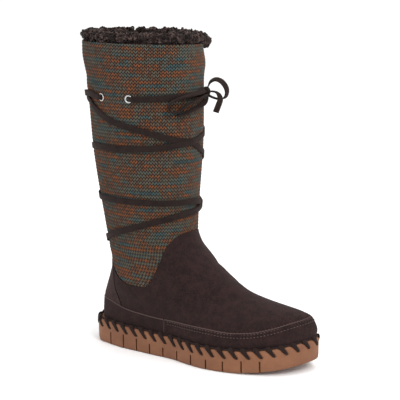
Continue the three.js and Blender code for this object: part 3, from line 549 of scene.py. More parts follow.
def split_suede(name, dark, light, edge, edge_at, fibre_bump):
    """Brushed split leather; near the edge that the UV map's second value tells of, a paler cut edge with
    painted highlight.
    """
    material, tree, output = new_material(name)
    place = add(tree, "ShaderNodeTexCoord").outputs["Object"]
    patches = add(tree, "ShaderNodeTexNoise", {"Vector": place, "Scale": 1 / PATCH, "Detail": 5.0,
                                               "Roughness": 0.7})
    fibres = add(tree, "ShaderNodeTexNoise", {"Vector": place, "Scale": 1 / FIBRE, "Detail": 2.0})
    blend = add(tree, "ShaderNodeMath", {0: patches.outputs["Fac"], 1: fibres.outputs["Fac"]},
                operation="ADD")
    ramp = add(tree, "ShaderNodeValToRGB", {"Fac": add(tree, "ShaderNodeMath", {
        0: blend.outputs[0], 1: 0.5}, operation="MULTIPLY").outputs[0]})
    ramp.color_ramp.elements[0].position = 0.4
    ramp.color_ramp.elements[0].color = linear(dark)
    ramp.color_ramp.elements[1].position = 0.6
    ramp.color_ramp.elements[1].color = linear(light)
    uv = add(tree, "ShaderNodeUVMap").outputs[0]
    across = add(tree, "ShaderNodeSeparateXYZ", {"Vector": uv}).outputs["Y"]
    # The paler strip along the cut edge: the suede's pale cut edge, with a painted highlight on the raised
    # edge.
    raw = add(tree, "ShaderNodeMath", {0: across, 1: edge_at}, operation="LESS_THAN").outputs[0]
    colour = add(tree, "ShaderNodeMix", {"Factor": raw, "A": ramp.outputs["Color"],
                                         "B": linear(edge)}, data_type="RGBA")
    bump = add(tree, "ShaderNodeBump", {"Height": blend.outputs[0], "Strength": fibre_bump,
                                        "Distance": 0.001})
    shader = add(tree, "ShaderNodeBsdfPrincipled", {
        "Base Color": colour.outputs["Result"], "Roughness": 0.95, "Specular IOR Level": 0.2,
        "Sheen Weight": 0.14, "Sheen Roughness": 0.55, "Sheen Tint": linear("#8a706b"),
        "Normal": bump.outputs[0]})
    tree.links.new(shader.outputs[0], output.inputs[0])
    return material


# Split leather, dyed through and cut into a strap: dull and nearly black, with a faint mottle.
lace_suede = split_suede("lace_split_suede", "#150d0b", "#241a17", "#241a17", 0.0, 0.5)
print("suede fibres are drawn", FIBRE / MM, "mm and patches", PATCH / MM, "mm wide")

# %% [markdown]
# ## The bow
#
# The bow's loops and ends are the only stretches of the lace that hang free. Their routes are short lists
# of points, chosen against the photograph and counted from the middle of the knot, and a smooth
# path is drawn through each. The front loop goes on through the knot into the front end, and the side
# loop into the side end, as a tied bow does.

# %% Routes of the bow
LACE_WIDTH = 6.5
LACE_THICKNESS = 1.6
BOW_THICKNESS = 1.4
KNOT_TURN = 11.0
KNOT_RISE = 0.838
KNOT_OFF = 4.2
EYELET_RISE = 0.8203

FRONT_LOOP_AND_END = (
    ("out", "side", "up", "lean"),
    (2.2, 0, 5.0, 10),
    (5.2, 0, 10.8, 25),
    (10.8, 0.5, 13.6, 30),
    (17, 1, 11.6, 35),
    (21.8, 1, 6.0, 35),
    (23.2, 1, 0, 20),
    (21.2, 1, -5.2, 10),
    (15.8, 0.5, -7.2, 0),
    (10.2, 0.5, -6.4, 0),
    (4, 0.3, -4.0, 0),
    (2.2, 0, -1.4, 0),
    (4.4, 0, 0.6, 0),
    (9, 0, 0.6, 0),
    (13, -1, -0.4, 0),
    (16.4, -4.0, -3.0, 15),
    (18, -6.8, -7.4, 45),
    (16.4, -8.0, -13, 60),
    (13.6, -8.4, -20.4, 60),
)
SIDE_LOOP_AND_END = (
    ("turn", "rise", "off", "lean"),
    (4, 0.848, 5.4, 50),
    (-4, 0.842, 5.2, 65),
    (-16, 0.835, 4.8, 80),
    (-28, 0.827, 4.4, 86),
    (-37, 0.815, 4.2, 88),
    (-41, 0.8, 4.2, 88),
    (-40, 0.785, 4.2, 88),
    (-36, 0.776, 4.2, 88),
    (-30, 0.783, 4.2, 86),
    (-22, 0.8, 4.4, 82),
    (-12, 0.813, 4.8, 75),
    (-2, 0.823, 5.2, 60),
    (6, 0.824, 6, 40),
    (9, 0.814, 5.4, 30),
    (5, 0.803, 4.6, 50),
    (-4, 0.793, 4.3, 70),
    (-14, 0.784, 4.2, 80),
    (-24, 0.772, 4.2, 80),
    (-32, 0.766, 4.2, 80),
)
BOW_STEP = 1.2

knot_around = turn_to_around(KNOT_TURN)
knot_height = KNOT_RISE * UPPER_HEIGHT
knot_out = outward(knot_around, knot_height) * np.array([1, 1, 0])
knot_out = knot_out / np.linalg.norm(knot_out)
knot_up = np.array([0.0, 0, 1])
knot_side = np.cross(knot_up, knot_out)
knot_middle = on_last(knot_around, knot_height, KNOT_OFF)


def free_stations(table, step):
    """Stations of a ribbon that stands free, from a table counted from the knot's middle."""
    path = through(table[1:], step)
    middle = knot_middle + path[:, :1] * knot_out + path[:, 1:2] * knot_side + path[:, 2:3] * knot_up
    ahead = unit(np.gradient(middle, axis=0))
    lean = np.radians(path[:, 3:4])
    wide = knot_side * np.cos(lean) + unit(np.cross(ahead, knot_side)) * np.sin(lean)
    wide = unit(wide - ahead * np.sum(wide * ahead, axis=1, keepdims=True))
    return middle, wide, np.cross(ahead, wide)


DEGREE = 1.05  # millimetres round the shaft in a degree of turn


def shaft_stations(rows, step):
    """Stations of a ribbon that lies on the shaft, from rows of turn, rise, distance off it and lean."""
    path = through([(turn * DEGREE, rise * UPPER_HEIGHT, off, lean) for turn, rise, off, lean in rows],
                   step)
    around = turn_to_around(path[:, 0] / DEGREE)
    middle = on_last(around, path[:, 1], path[:, 2])
    normal = outward(around, path[:, 1])
    ahead = unit(np.gradient(middle, axis=0))
    lean = np.radians(path[:, 3:4])
    wide = unit(np.cross(normal, ahead)) * np.cos(lean) + normal * np.sin(lean)
    wide = unit(wide - ahead * np.sum(wide * ahead, axis=1, keepdims=True))
    return middle, wide, unit(np.cross(ahead, wide)), path


def length_of(middle):
    """Length of a path in metres."""
    return float(np.linalg.norm(np.diff(middle, axis=0), axis=1).sum() * MM)


def in_scene(points):
    """Points of the last's own frame, in metres of the model's frame."""
    return [tuple(p) for p in (np.asarray(points) + SHIFT) * MM]


def spot(point):
    """One point of the last's own frame, in metres of the model's frame."""
    return Vector((np.asarray(point) + SHIFT) * MM)


print("the knot's middle is at", [round(v, 4) for v in spot(knot_middle)], "m")

# %% [markdown]
# ## The knot
#
# In the knot both loops and both ends come together, in a lump that is about as wide as two laces. It is
# made as a flattened ball with two fat turns of lace round it. The ball hides where the four strands
# start, as the tight middle of a real bow does.

# %% Tied knot
KNOT_TURNS = (
    ("out", "side", "up", "size", "tilt", "width"),
    (0.0, 0.0, 0.0, 4.3, 12, 7.0),
    (0.6, 0.6, 0.3, 3.7, -62, 5.6),
)
KNOT_THICKNESS = 2.2
KNOT_HEART = (0.0034, 0.0040, 0.0040)


def tied_knot():
    """Two fat turns of the lace round each other."""
    turns = []
    for out, side, up, size, tilt, width in KNOT_TURNS[1:]:
        angle = np.linspace(0, 2 * np.pi, 25)
        lean = math.radians(tilt)
        level = knot_side * math.cos(lean) + knot_up * math.sin(lean)
        across = np.cross(level, knot_out)
        centre = knot_middle + knot_out * out + knot_side * side + knot_up * up
        ring_path = (centre + np.cos(angle)[:, None] * knot_out * size * 0.85
                     + np.sin(angle)[:, None] * across * size)
        ahead = unit(np.gradient(ring_path, axis=0))
        ahead[0] = ahead[-1] = across
        wide = np.broadcast_to(level, ring_path.shape)
        turns.append(sweep("knot_turn", ring_path, wide, np.cross(ahead, wide), width,
                           KNOT_THICKNESS))
    bpy.ops.object.select_all(action="DESELECT")
    bpy.ops.mesh.primitive_uv_sphere_add(segments=20, ring_count=12, radius=1)
    heart = bpy.context.object
    spin = Matrix((knot_out, knot_side, knot_up)).transposed().to_4x4()
    heart.data.transform(Matrix.Translation(spot(knot_middle)) @ spin
                         @ Matrix.Diagonal((*KNOT_HEART, 1)))
    heart.name = "lace_knot_tied"
    join([heart] + turns)
    apply_modifier(heart, "SUBSURF", levels=1)
    return heart


knot = tied_knot()
finish_piece(knot, lace_suede)
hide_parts("lace_knot")
print("the knot has", len(knot.data.polygons), "faces")

# %% [markdown]
# ## Loops and ends
#
# Each loop and its end are one ribbon, swept along its route. The front one stands off the shaft, and
# the side one lies on it, edge outwards, so that it looks thin. Both hang free, and the length of each
# is measured along its middle.

# %% The bow's two laces
middle, wide, thick = free_stations(FRONT_LOOP_AND_END, BOW_STEP)
front_bow = sweep("lace_bow_front", middle, wide, thick, LACE_WIDTH, BOW_THICKNESS)
finish_piece(front_bow, lace_suede)
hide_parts("lace_loop_front", "lace_end_front")
print("front loop and end", round(length_of(middle), 4), "m")

middle, wide, thick, path = shaft_stations(SIDE_LOOP_AND_END[1:], BOW_STEP)
side_bow = sweep("lace_bow_side", middle, wide, thick, LACE_WIDTH, BOW_THICKNESS)
finish_piece(side_bow, lace_suede)
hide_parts("lace_loop_side", "lace_end_side")
print("side loop and end", round(length_of(middle), 4), "m")

# %% [markdown]
# ## The lace round the shaft
#
# One strap goes from the knot to the front eyelet of the inner side, back out of the rear eyelet, round
# and round the shaft, and on the outer side through both eyelets to the knot again. It is one path with
# one ribbon swept along it. Where one winding crosses another it rises over it, and in an eyelet it
# is pinched to the hole's width.

# %% Route of the lace
LACE_UNDER = (
    (180, 0.3006), (91, 0.368), (14, 0.4546), (-37, 0.4655), (-101, 0.4671), (-143, 0.4642),
    (-180, 0.4738), (-250, 0.5316), (-310, 0.5893), (-346, 0.631), (-372, 0.6692), (-398, 0.6859),
    (-426, 0.7113), (-452, 0.7347), (-464, 0.7478), (-476, 0.7671), (-487, 0.7889), (-495, 0.805),
    (-515, 0.8187), (-540, 0.8235), (-580, 0.8251),
)
LACE_OVER = (
    (-180, 0.3006), (-141, 0.32), (-91, 0.368), (-57, 0.4), (-22, 0.4225), (23, 0.4385),
    (90, 0.506), (150, 0.589), (180, 0.6215), (226, 0.647), (263, 0.648), (298, 0.654),
    (323, 0.663), (347.6, 0.6747), (369, 0.6875), (410, 0.7145), (470, 0.769), (507, 0.798),
    (540, 0.817), (588, 0.828),
)
EYELETS = {
    "eyelet_lateral_rear": -110.7,
    "eyelet_lateral_front": -79.0,
    "eyelet_medial_front": 79.0,
    "eyelet_medial_rear": 110.7,
}
LACE_OFF = 1.15
INSIDE_OFF = -6.0
BAR_CURVE = 1.4
BAR_SHARES = (0.12, 0.3, 0.5, 0.7, 0.86, 1.0)
HOLE_STEPS = ((-7.0, LACE_OFF), (-4.2, 1.75), (-1.4, 1.3), (0.0, -1.8), (1.6, -5.0), (5.0, INSIDE_OFF))


def eyelet_passage(turn, inwards):
    """Route in through an eyelet, or the same route out of it, going on round the shaft."""
    steps = HOLE_STEPS if inwards else [(-along, off) for along, off in reversed(HOLE_STEPS)]
    return [(turn + along / DEGREE, EYELET_RISE, off, 0) for along, off in steps]


def bar(front, knot_at):
    """Route of the bar from a front eyelet to the knot."""
    return [(front + (knot_at - front) * share,
             EYELET_RISE + (KNOT_RISE - EYELET_RISE) * share ** BAR_CURVE,
             LACE_OFF + (KNOT_OFF - LACE_OFF - 1.2) * share ** 6, 0) for share in BAR_SHARES]


first = EYELETS["eyelet_medial_front"] - 720
second = EYELETS["eyelet_medial_rear"] - 720
third = EYELETS["eyelet_lateral_rear"] + 1080
fourth = EYELETS["eyelet_lateral_front"] + 1080
route = list(reversed(bar(first, KNOT_TURN - 720)))
route += eyelet_passage(first, True)
route += eyelet_passage(second, False)
route += [(turn, rise, LACE_OFF, 0) for turn, rise in reversed(LACE_UNDER)]
route += [(turn + 360, rise, LACE_OFF, 0) for turn, rise in LACE_OVER[1:]]
route += eyelet_passage(third, True)
route += eyelet_passage(fourth, False)
route += bar(fourth, KNOT_TURN + 1080)

print("the lace's route has", len(route), "points")

# %% [markdown]
# ## Laying the lace
#
# The windings that climb one way lie on the shaft. Those that climb the other way are raised wherever
# they pass over one, by a soft bump whose height comes from the nearest point below. Each point of the
# finished lace is kept in a search tree, so that the knit can be pressed in under it.

# %% The lace itself
LACE_STEP = 2.0
LIFT = 1.75
LIFT_REACH = 8.0
ROUND_APART = 60.0
PINCH_REACH = 3.2
PINCH_WIDTH = 0.36
PINCH_THICKNESS = 0.25
middle, wide, thick, path = shaft_stations(route, LACE_STEP)
back_turn = 180 * DEGREE
over = np.where(path[:, 0] > back_turn + ROUND_APART)[0]
under = np.where(path[:, 0] < back_turn - ROUND_APART)[0]
tree_under = kdtree.KDTree(len(under))
for i in under:
    tree_under.insert(middle[i], int(i))
tree_under.balance()
lift = np.zeros(len(middle))
for i in over:
    gap = tree_under.find(middle[i])[2]
    if path[i, 2] > 0 and gap < LIFT_REACH:
        lift[i] = LIFT * (0.5 + 0.5 * math.cos(math.pi * gap / LIFT_REACH))
lift = np.convolve(lift, np.ones(5) / 5, mode="same")
middle = middle + outward(turn_to_around(path[:, 0] / DEGREE), path[:, 1]) * lift[:, None]
pinch = np.zeros(len(middle))
for turn in (first, second, third, fourth):
    beside = path[:, 0] - turn * DEGREE
    pinch = np.maximum(pinch, np.exp(-(beside / PINCH_REACH) ** 2))
lace = sweep("lace_strap", middle, wide, thick, LACE_WIDTH * (1 - PINCH_WIDTH * pinch),
             LACE_THICKNESS * (1 + PINCH_THICKNESS * pinch))
finish_piece(lace, lace_suede)
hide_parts("lace_wraps", "lace_bar_lateral", "lace_bar_medial")
lace_line = middle[path[:, 2] > 0]
lace_tree = kdtree.KDTree(len(lace_line))
for i, point in enumerate(lace_line):
    lace_tree.insert(point, i)
lace_tree.balance()
print("lace round the shaft", round(length_of(middle), 3), "m")

# %% [markdown]
# ## Eyelets
#
# Each eyelet is a plated steel ring, pressed over the edge of its hole, with a short barrel behind. It is
# modelled once, flat on the floor, from a torus and an open cylinder, and then copied four times.

# %% Plated steel eyelets
EYELET_RIM_MIDDLE = 3.6
EYELET_RIM_HALF = 0.75
EYELET_FLATNESS = 0.62
BARREL_RADIUS = 2.95
BARREL_WALL = 0.3
BARREL_LENGTH = 4.0
EYELET_SEAT = 0.25

# Steel, pressed to shape and plated bright: a grey metal with small, sharp highlights.
plated_steel, tree, output = new_material("plated_steel")
shader = add(tree, "ShaderNodeBsdfPrincipled", {"Base Color": linear("#bdbdbc"), "Metallic": 1.0,
                                                "Roughness": 0.22})
tree.links.new(shader.outputs[0], output.inputs[0])

bpy.ops.object.select_all(action="DESELECT")
bpy.ops.mesh.primitive_torus_add(major_radius=EYELET_RIM_MIDDLE * MM, minor_radius=EYELET_RIM_HALF * MM,
                                 major_segments=40, minor_segments=12)
model_eyelet = bpy.context.object
bpy.ops.object.mode_set(mode="EDIT")
bpy.ops.transform.resize(value=(1, 1, EYELET_FLATNESS))
bpy.ops.object.mode_set(mode="OBJECT")
bpy.ops.mesh.primitive_cylinder_add(radius=BARREL_RADIUS * MM, depth=BARREL_LENGTH * MM, vertices=40,
                                    end_fill_type="NOTHING", location=(0, 0, -BARREL_LENGTH / 2 * MM))
barrel = bpy.context.object
apply_modifier(barrel, "SOLIDIFY", thickness=BARREL_WALL * MM, offset=0)
join([model_eyelet, barrel])

for name, turn in EYELETS.items():
    around, height = turn_to_around(turn), EYELET_RISE * UPPER_HEIGHT
    axis = outward(around, height)
    right = unit(np.cross(knot_up, axis))
    basis = Matrix((right, np.cross(axis, right), axis)).transposed().to_4x4()
    eyelet = bpy.data.objects.new(name + "_plated", model_eyelet.data.copy())
    bpy.context.scene.collection.objects.link(eyelet)
    seat = spot(on_last(around, height, EYELET_SEAT))
    eyelet.data.transform(Matrix.Translation(seat) @ basis)
    finish_piece(eyelet, plated_steel)
    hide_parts(name)
bpy.data.objects.remove(model_eyelet)
print(len(EYELETS), "eyelets,", 2 * (EYELET_RIM_MIDDLE + EYELET_RIM_HALF), "mm wide")

# %% [markdown]
# ## The knitted shaft
#
# The shaft is machine-knitted from a thick marl yarn that changes from rust to teal and olive along its
# length, so that short level dashes of colour run round the leg. Each stitch is a V of two slanting legs.
# The colour could be painted on, but here it is worked out from each stitch's place in the yarn, with a
# noise that runs level and starts anew in every row. The UV map counts legs and rows, and a whole number
# of stitches goes round, so that no row breaks off.

# %% Marl knit
STITCHES_ROUND = 104
STITCH_HEIGHT = 3.7
LEG_SLANT = 0.8
DASH_TURN = 1.1  # how far the noise moves on from one row to the next
DASH_SCALE = 1.6  # on a circle of radius 1, which makes a dash about 20 to 60 mm long
SPECK_SHARE = 0.26
YARN = (
    (0.0, "#293434"),
    (0.2, "#2f4041"),
    (0.32, "#3e4039"),
    (0.44, "#4a4338"),
    (0.52, "#3b2e25"),
    (0.62, "#553320"),
    (0.74, "#683b20"),
    (0.86, "#412f23"),
    (1.0, "#4c4639"),
)

# Marl wool, spun from dyed strands and machine-knitted: dull, in mixed dashes, with painted shade between
# the legs and painted light on the raised yarn.
marl_knit, tree, output = new_material("marl_wool_knit")
uv = add(tree, "ShaderNodeSeparateXYZ", {"Vector": add(tree, "ShaderNodeUVMap").outputs[0]})
inside = add(tree, "ShaderNodeMath", {0: uv.outputs["X"], 1: 1.0}, operation="PINGPONG")
slant = add(tree, "ShaderNodeMath", {0: inside.outputs[0], 1: LEG_SLANT, 2: uv.outputs["Y"]},
            operation="MULTIPLY_ADD")
leg_row = add(tree, "ShaderNodeMath", {0: slant.outputs[0]}, operation="FLOOR")
leg = add(tree, "ShaderNodeMath", {0: uv.outputs["X"]}, operation="FLOOR")
along_leg = add(tree, "ShaderNodeMath", {0: slant.outputs[0]}, operation="FRACT")
high_row = add(tree, "ShaderNodeMath", {0: along_leg.outputs[0], 1: math.pi}, operation="MULTIPLY")
high_row = add(tree, "ShaderNodeMath", {0: high_row.outputs[0]}, operation="SINE")
high_leg = add(tree, "ShaderNodeMath", {0: inside.outputs[0], 1: math.pi}, operation="MULTIPLY")
high_leg = add(tree, "ShaderNodeMath", {0: high_leg.outputs[0]}, operation="SINE")
relief = add(tree, "ShaderNodeMath", {0: high_leg.outputs[0], 1: 0.5, 2: 0.5}, operation="MULTIPLY_ADD")
relief = add(tree, "ShaderNodeMath", {0: relief.outputs[0], 1: high_row.outputs[0]}, operation="MULTIPLY")

turned = add(tree, "ShaderNodeMath", {0: uv.outputs["X"], 1: math.pi / STITCHES_ROUND},
             operation="MULTIPLY")
dash_x = add(tree, "ShaderNodeMath", {0: turned.outputs[0]}, operation="COSINE")
dash_y = add(tree, "ShaderNodeMath", {0: turned.outputs[0]}, operation="SINE")
dash_row = add(tree, "ShaderNodeMath", {0: leg_row.outputs[0], 1: DASH_TURN}, operation="MULTIPLY")
dash_place = add(tree, "ShaderNodeCombineXYZ", {"X": dash_x.outputs[0], "Y": dash_y.outputs[0],
                                                "Z": dash_row.outputs[0]})
dash = add(tree, "ShaderNodeTexNoise", {"Vector": dash_place.outputs[0], "Scale": DASH_SCALE,
                                        "Detail": 4.0, "Roughness": 0.62})
cell = add(tree, "ShaderNodeCombineXYZ", {"X": leg.outputs[0], "Y": leg_row.outputs[0]})
speck = add(tree, "ShaderNodeTexWhiteNoise", {"Vector": cell.outputs[0]}, noise_dimensions="2D")
dash_wide = add(tree, "ShaderNodeMapRange", {"Value": dash.outputs["Fac"], "From Min": 0.27,
                                             "From Max": 0.73})
shade = add(tree, "ShaderNodeMath", {0: speck.outputs["Value"], 1: SPECK_SHARE,
                                             2: dash_wide.outputs[0]},
            operation="MULTIPLY_ADD")
shade = add(tree, "ShaderNodeMath", {0: shade.outputs[0], 1: SPECK_SHARE / 2}, operation="SUBTRACT")
ramp = add(tree, "ShaderNodeValToRGB", {"Fac": shade.outputs[0]})
while len(ramp.color_ramp.elements) < len(YARN):
    ramp.color_ramp.elements.new(0.5)
for element, (position, colour) in zip(ramp.color_ramp.elements, YARN):
    element.position = position
    element.color = linear(colour)
# The yarn's colour is scaled by its relief: painted shade in the gaps between the legs, painted light on
# the raised yarn.
depth = add(tree, "ShaderNodeMapRange", {"Value": relief.outputs[0], "From Min": 0.26, "From Max": 0.88,
                                         "To Min": 0.0, "To Max": 1.7})
colour = add(tree, "ShaderNodeVectorMath", {0: ramp.outputs["Color"], "Scale": depth.outputs[0]},
             operation="SCALE")
bump = add(tree, "ShaderNodeBump", {"Height": relief.outputs[0], "Strength": 0.8, "Distance": 0.0008})
shader = add(tree, "ShaderNodeBsdfPrincipled", {
    "Base Color": colour.outputs[0], "Roughness": 1.0, "Specular IOR Level": 0.1,
    "Sheen Weight": 0.05, "Sheen Roughness": 0.7, "Normal": bump.outputs[0]})
tree.links.new(shader.outputs[0], output.inputs[0])
print("the yarn has", len(YARN), "colours")

# %% [markdown]
# ## The knitted tube
#
# The tube has a few points in each leg of a stitch, which stand out by the thickness of the yarn by the
# same formula as in the material, so that the stitches catch the light and show at the edge. It is
# pressed in under the lace and tucked under the suede, and a table places the few soft folds where the
# shaft is slack. An inner wall, a little smaller, closes it.

# %% Knitted shaft
POINTS_IN_LEG = 2
POINTS_IN_ROW = 3
YARN_RELIEF = 0.6
KNIT_WALL = 1.7
INNER_ROWS = 18
TUCK = 5.0
SUEDE_STEP = 1.9
WALL_SHIFT = 1.2
EVEN_AT = 200.0
KNIT_OVER_UPPER = 2.0
FRONT_RISE = 3.2
PRESS = 0.75
PRESS_REACH = 7.0
SLACK_WAVE = 0.45
SLACK_FROM = 60
SLACK_FADE = 60
STEP_SOFTNESS = 1.6
SLACK_FOLDS = (
    ("turn", "height", "out", "wide", "tall"),
    (31, 315, -2.8, 50, 12),
    (31, 291, 1.2, 50, 9),
    (211, 299, 1.1, 45, 10),
    (211, 276, -0.9, 45, 7),
    (300, 289, 0.7, 30, 7),
    (285, 235, 0.8, 35, 10),
    (330, 213, 0.9, 25, 12),
    (250, 195, 0.7, 30, 8),
)


def even_around(height, count):
    """Places round the last that lie evenly apart at one height, and how far round each lies."""
    fine = np.linspace(0, 1, 2001)
    walk = np.linalg.norm(np.diff(last(fine, np.full_like(fine, height)), axis=0), axis=1)
    walk = np.concatenate([[0], np.cumsum(walk)])
    goal = np.linspace(0, walk[-1], count)
    return np.interp(goal, walk, fine), goal


def soft_step(value):
    """From 0 to 1 with soft ends."""
    value = np.clip(value, 0, 1)
    return value * value * (3 - 2 * value)


def slackness(around, height):
    """How far slack cloth stands off its plain form: broad waves, and the folds of the table."""
    angle = 2 * np.pi * around
    wave = np.sin(2 * angle + height / 31) + 0.7 * np.sin(3 * angle - height / 23 + 1.3)
    slack = SLACK_WAVE * wave * soft_step((height - SLACK_FROM) / SLACK_FADE)
    for turn, level, out, wide, tall in SLACK_FOLDS[1:]:
        turned = (np.degrees(angle) + 180 - turn + 180) % 360 - 180
        slack = slack + out * np.exp(-(turned / wide) ** 2 - ((height - level) / tall) ** 2)
    return slack


def yarn_height(legs, rows):
    """How far the yarn stands out, from 0 to 1, by the same formula as in the material."""
    inside = 1 - np.abs(1 - legs % 2)
    leg = 0.5 + 0.5 * np.sin(np.pi * inside)
    return leg * np.sin(np.pi * ((rows + inside * LEG_SLANT) % 1.0))


columns = 2 * STITCHES_ROUND * POINTS_IN_LEG
around, walk = even_around(EVEN_AT, columns + 1)
around[-1] = 1.0
legs = np.arange(columns + 1) / POINTS_IN_LEG
bottom = edge_height(SCALLOP, around) - TUCK
knit_top = UPPER_HEIGHT + KNIT_OVER_UPPER + FRONT_RISE * (1 - np.cos(2 * np.pi * around)) / 2
level = np.arange(math.floor(bottom.min()), knit_top.max() + 1, STITCH_HEIGHT / POINTS_IN_ROW)
height = np.clip(level[:, None], bottom, knit_top)
places = np.broadcast_to(around, height.shape)
over_edge = soft_step((height - bottom - TUCK + 0.3) / STEP_SOFTNESS)
off = slackness(places, height) - SUEDE_STEP * (1 - over_edge)
outside = on_last(places, height, off)
dent = np.zeros(height.shape)
for r in range(len(level)):
    for c in range(columns):
        gap = lace_tree.find(outside[r, c])[2]
        if gap < PRESS_REACH:
            dent[r, c] = 0.5 + 0.5 * math.cos(math.pi * gap / PRESS_REACH)
dent[:, -1] = dent[:, 0]
yarn = YARN_RELIEF * (yarn_height(legs, height / STITCH_HEIGHT) - 0.5)
outside = on_last(places, height, off - PRESS * dent + yarn)
share = np.linspace(1, 0, INNER_ROWS)[:, None]
inner_height = bottom + share * (knit_top - 1 - bottom)
inner = on_last(np.broadcast_to(around, inner_height.shape), inner_height,
                np.full(inner_height.shape, -KNIT_WALL - WALL_SHIFT))
points = np.concatenate([outside, inner, outside[:1]])
uv = np.stack([np.broadcast_to(legs, points.shape[:2]),
               np.concatenate([height, inner_height, height[:1]]) / STITCH_HEIGHT], axis=-1)
knit = lay_sheet("knit_shaft", points, uv)
finish_piece(knit, marl_knit)
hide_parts("upper")
print("a stitch is", round(walk[-1] / STITCHES_ROUND, 2), "mm wide; the knit has",
      len(knit.data.polygons), "faces")

# %% [markdown]
# ## Suede foot
#
# The foot is covered in brushed suede: a vamp with a U-shaped scallop at each side, a patch over the heel,
# and a band in two lengths above the sole. Each starts as one sheet right round the last, between its
# lower and upper edge. The sheet is then cut along its seams with a bisecting plane, and every piece gets
# its thickness and a soft edge from modifiers.

# %% Brushed suede
# Cow split, dyed dark brown and brushed: matt and mottled, paler where it faces the light. The heel patch
# has a paler copy of this suede, painted light, and the top edge of the bands has a paler strip: a painted
# highlight on the raised edge, over the paler cut edge of the suede.
foot_suede = split_suede("brushed_suede", "#160c0c", "#2b1b1a", "#2b1b1a", 0.0, 0.45)
# The heel patch's suede is a paler copy, painted lighter to stand for the light that falls on it.
counter_suede_painted_lighter = split_suede("brushed_suede_painted_lighter", "#1e1312", "#362625", "#362625", 0.0, 0.5)
# The bands' suede is painted paler along its cut top edge and at the joint: a painted highlight over the
# paler cut edge.
band_suede = split_suede("brushed_suede_with_raw_edge_and_highlight", "#160c0c", "#2b1b1a", "#4d3e3b", 0.0009, 0.45)
print("suedes:", foot_suede.name, counter_suede_painted_lighter.name, band_suede.name)

# %% [markdown]
# ## Laying and cutting the suede
#
# The sheet of suede bends where the toes bend, so a table places three soft troughs there. Round the toe
# its edge is gathered into small pleats. Two cuts split the rings: the slanting seam of the heel patch,
# and the upright joint of the bands. A cut plane makes both halves fit each other with one narrow gap.

# %% Suede sheets
SUEDE_COLUMNS = 520
SUEDE_ROWS = 60
SUEDE_THICKNESS = 1.5
BAND_ROWS = 26
BAND_THICKNESS = 1.9
BAND_OFF = 0.95
COVER_OFF = 0.35
COVER_TUCK = 1.5
FOOT_EVEN_AT = 25.0
CREASE_FROM = 30
CREASE_FADE = 25
UNEVENNESS = 0.25
TOE_FROM = 0.66
TOE_FADE = 0.12
PLEAT_REACH = 4.0
HEM_HEIGHT = 0.5
HEM_AT = 2.2
HEM_WIDTH = 1.6
PLEAT_PITCH = 3.3
SEAM_GAP = 1.9
PLEAT_DEPTH = 0.85
CREASES = (
    ("along", "turned", "deep", "wide"),
    (0.56, 0.05, 0.9, 0.013),
    (0.62, -0.04, 0.8, 0.015),
    (0.68, 0.03, 0.6, 0.017),
)


def suede_ring(name, low, high, off, rows, pleats):
    """A sheet right round the last between two edges, with creases where the foot bends."""
    around, walk = even_around(FOOT_EVEN_AT, SUEDE_COLUMNS + 1)
    low, high = low(around), high(around)
    share = np.linspace(0, 1, rows)[:, None]
    height = low + share * (high - low)
    places = np.broadcast_to(around, height.shape)
    along = last(places, height)[..., 0] / SOLE_LENGTH
    lift = np.full(height.shape, off)
    side = np.sin(2 * np.pi * places)
    for where, turned, deep, wide in CREASES[1:]:
        over = np.clip((height - CREASE_FROM) / CREASE_FADE, 0, 1)
        lift -= deep * over * np.exp(-((along - where - turned * side) / wide) ** 2)
    uneven = np.sin(9 * np.pi * places + height / 17) * np.sin(5 * np.pi * along)
    lift += UNEVENNESS * uneven * share
    toe = soft_step((along - TOE_FROM) / TOE_FADE)
    from_edge = height - low if pleats > 0 else high - height
    pleat = np.sin(2 * np.pi * walk / PLEAT_PITCH) * np.exp(-(from_edge / PLEAT_REACH))
    lift += toe * (PLEAT_DEPTH * pleat + HEM_HEIGHT * np.exp(-((from_edge - HEM_AT) / HEM_WIDTH) ** 2))
    points = on_last(places, height, lift)
    from_joint = np.abs(points[..., 0] - BAND_JOINT * SOLE_LENGTH) if pleats < 0 else np.inf
    uv = np.stack([np.broadcast_to(walk, height.shape) * MM,
                   np.minimum(high - height, from_joint) * MM], axis=-1)
    return lay_sheet(name, points, uv)


def keep_part(piece, name, point, along, inner):
    """A copy of a sheet with one side of a plane cut away."""
    part = piece.copy()
    part.data = piece.data.copy()
    part.name = name
    bpy.context.scene.collection.objects.link(part)
    only(part)
    bpy.ops.object.mode_set(mode="EDIT")
    bpy.ops.mesh.select_all(action="SELECT")
    bpy.ops.mesh.bisect(plane_co=point, plane_no=along, clear_inner=inner, clear_outer=not inner)
    bpy.ops.object.mode_set(mode="OBJECT")
    return part


def thicken(piece, thickness, round_by):
    """Give a sheet its thickness, inwards, and round its edges."""
    apply_modifier(piece, "SOLIDIFY", thickness=thickness * MM, offset=-1.0)
    if round_by:
        apply_modifier(piece, "BEVEL", width=round_by * MM, segments=2, limit_method="ANGLE",
                       angle_limit=math.radians(50))


def band_top(around):
    """Height of the band's upper edge."""
    return edge_height(BAND_EDGE, around)


def seam_plane(table_point, table_foot):
    """A point on a slanting seam and the direction across it, towards the toe."""
    a = np.array([table_point[0] * SOLE_LENGTH, 0, SEAT + table_point[1] * INSTEP_HEIGHT])
    b = np.array([table_foot[0] * SOLE_LENGTH, 0, SEAT + table_foot[1] * INSTEP_HEIGHT])
    run = unit(b - a)
    return spot(a), tuple(np.array([-run[2], 0, run[0]]))


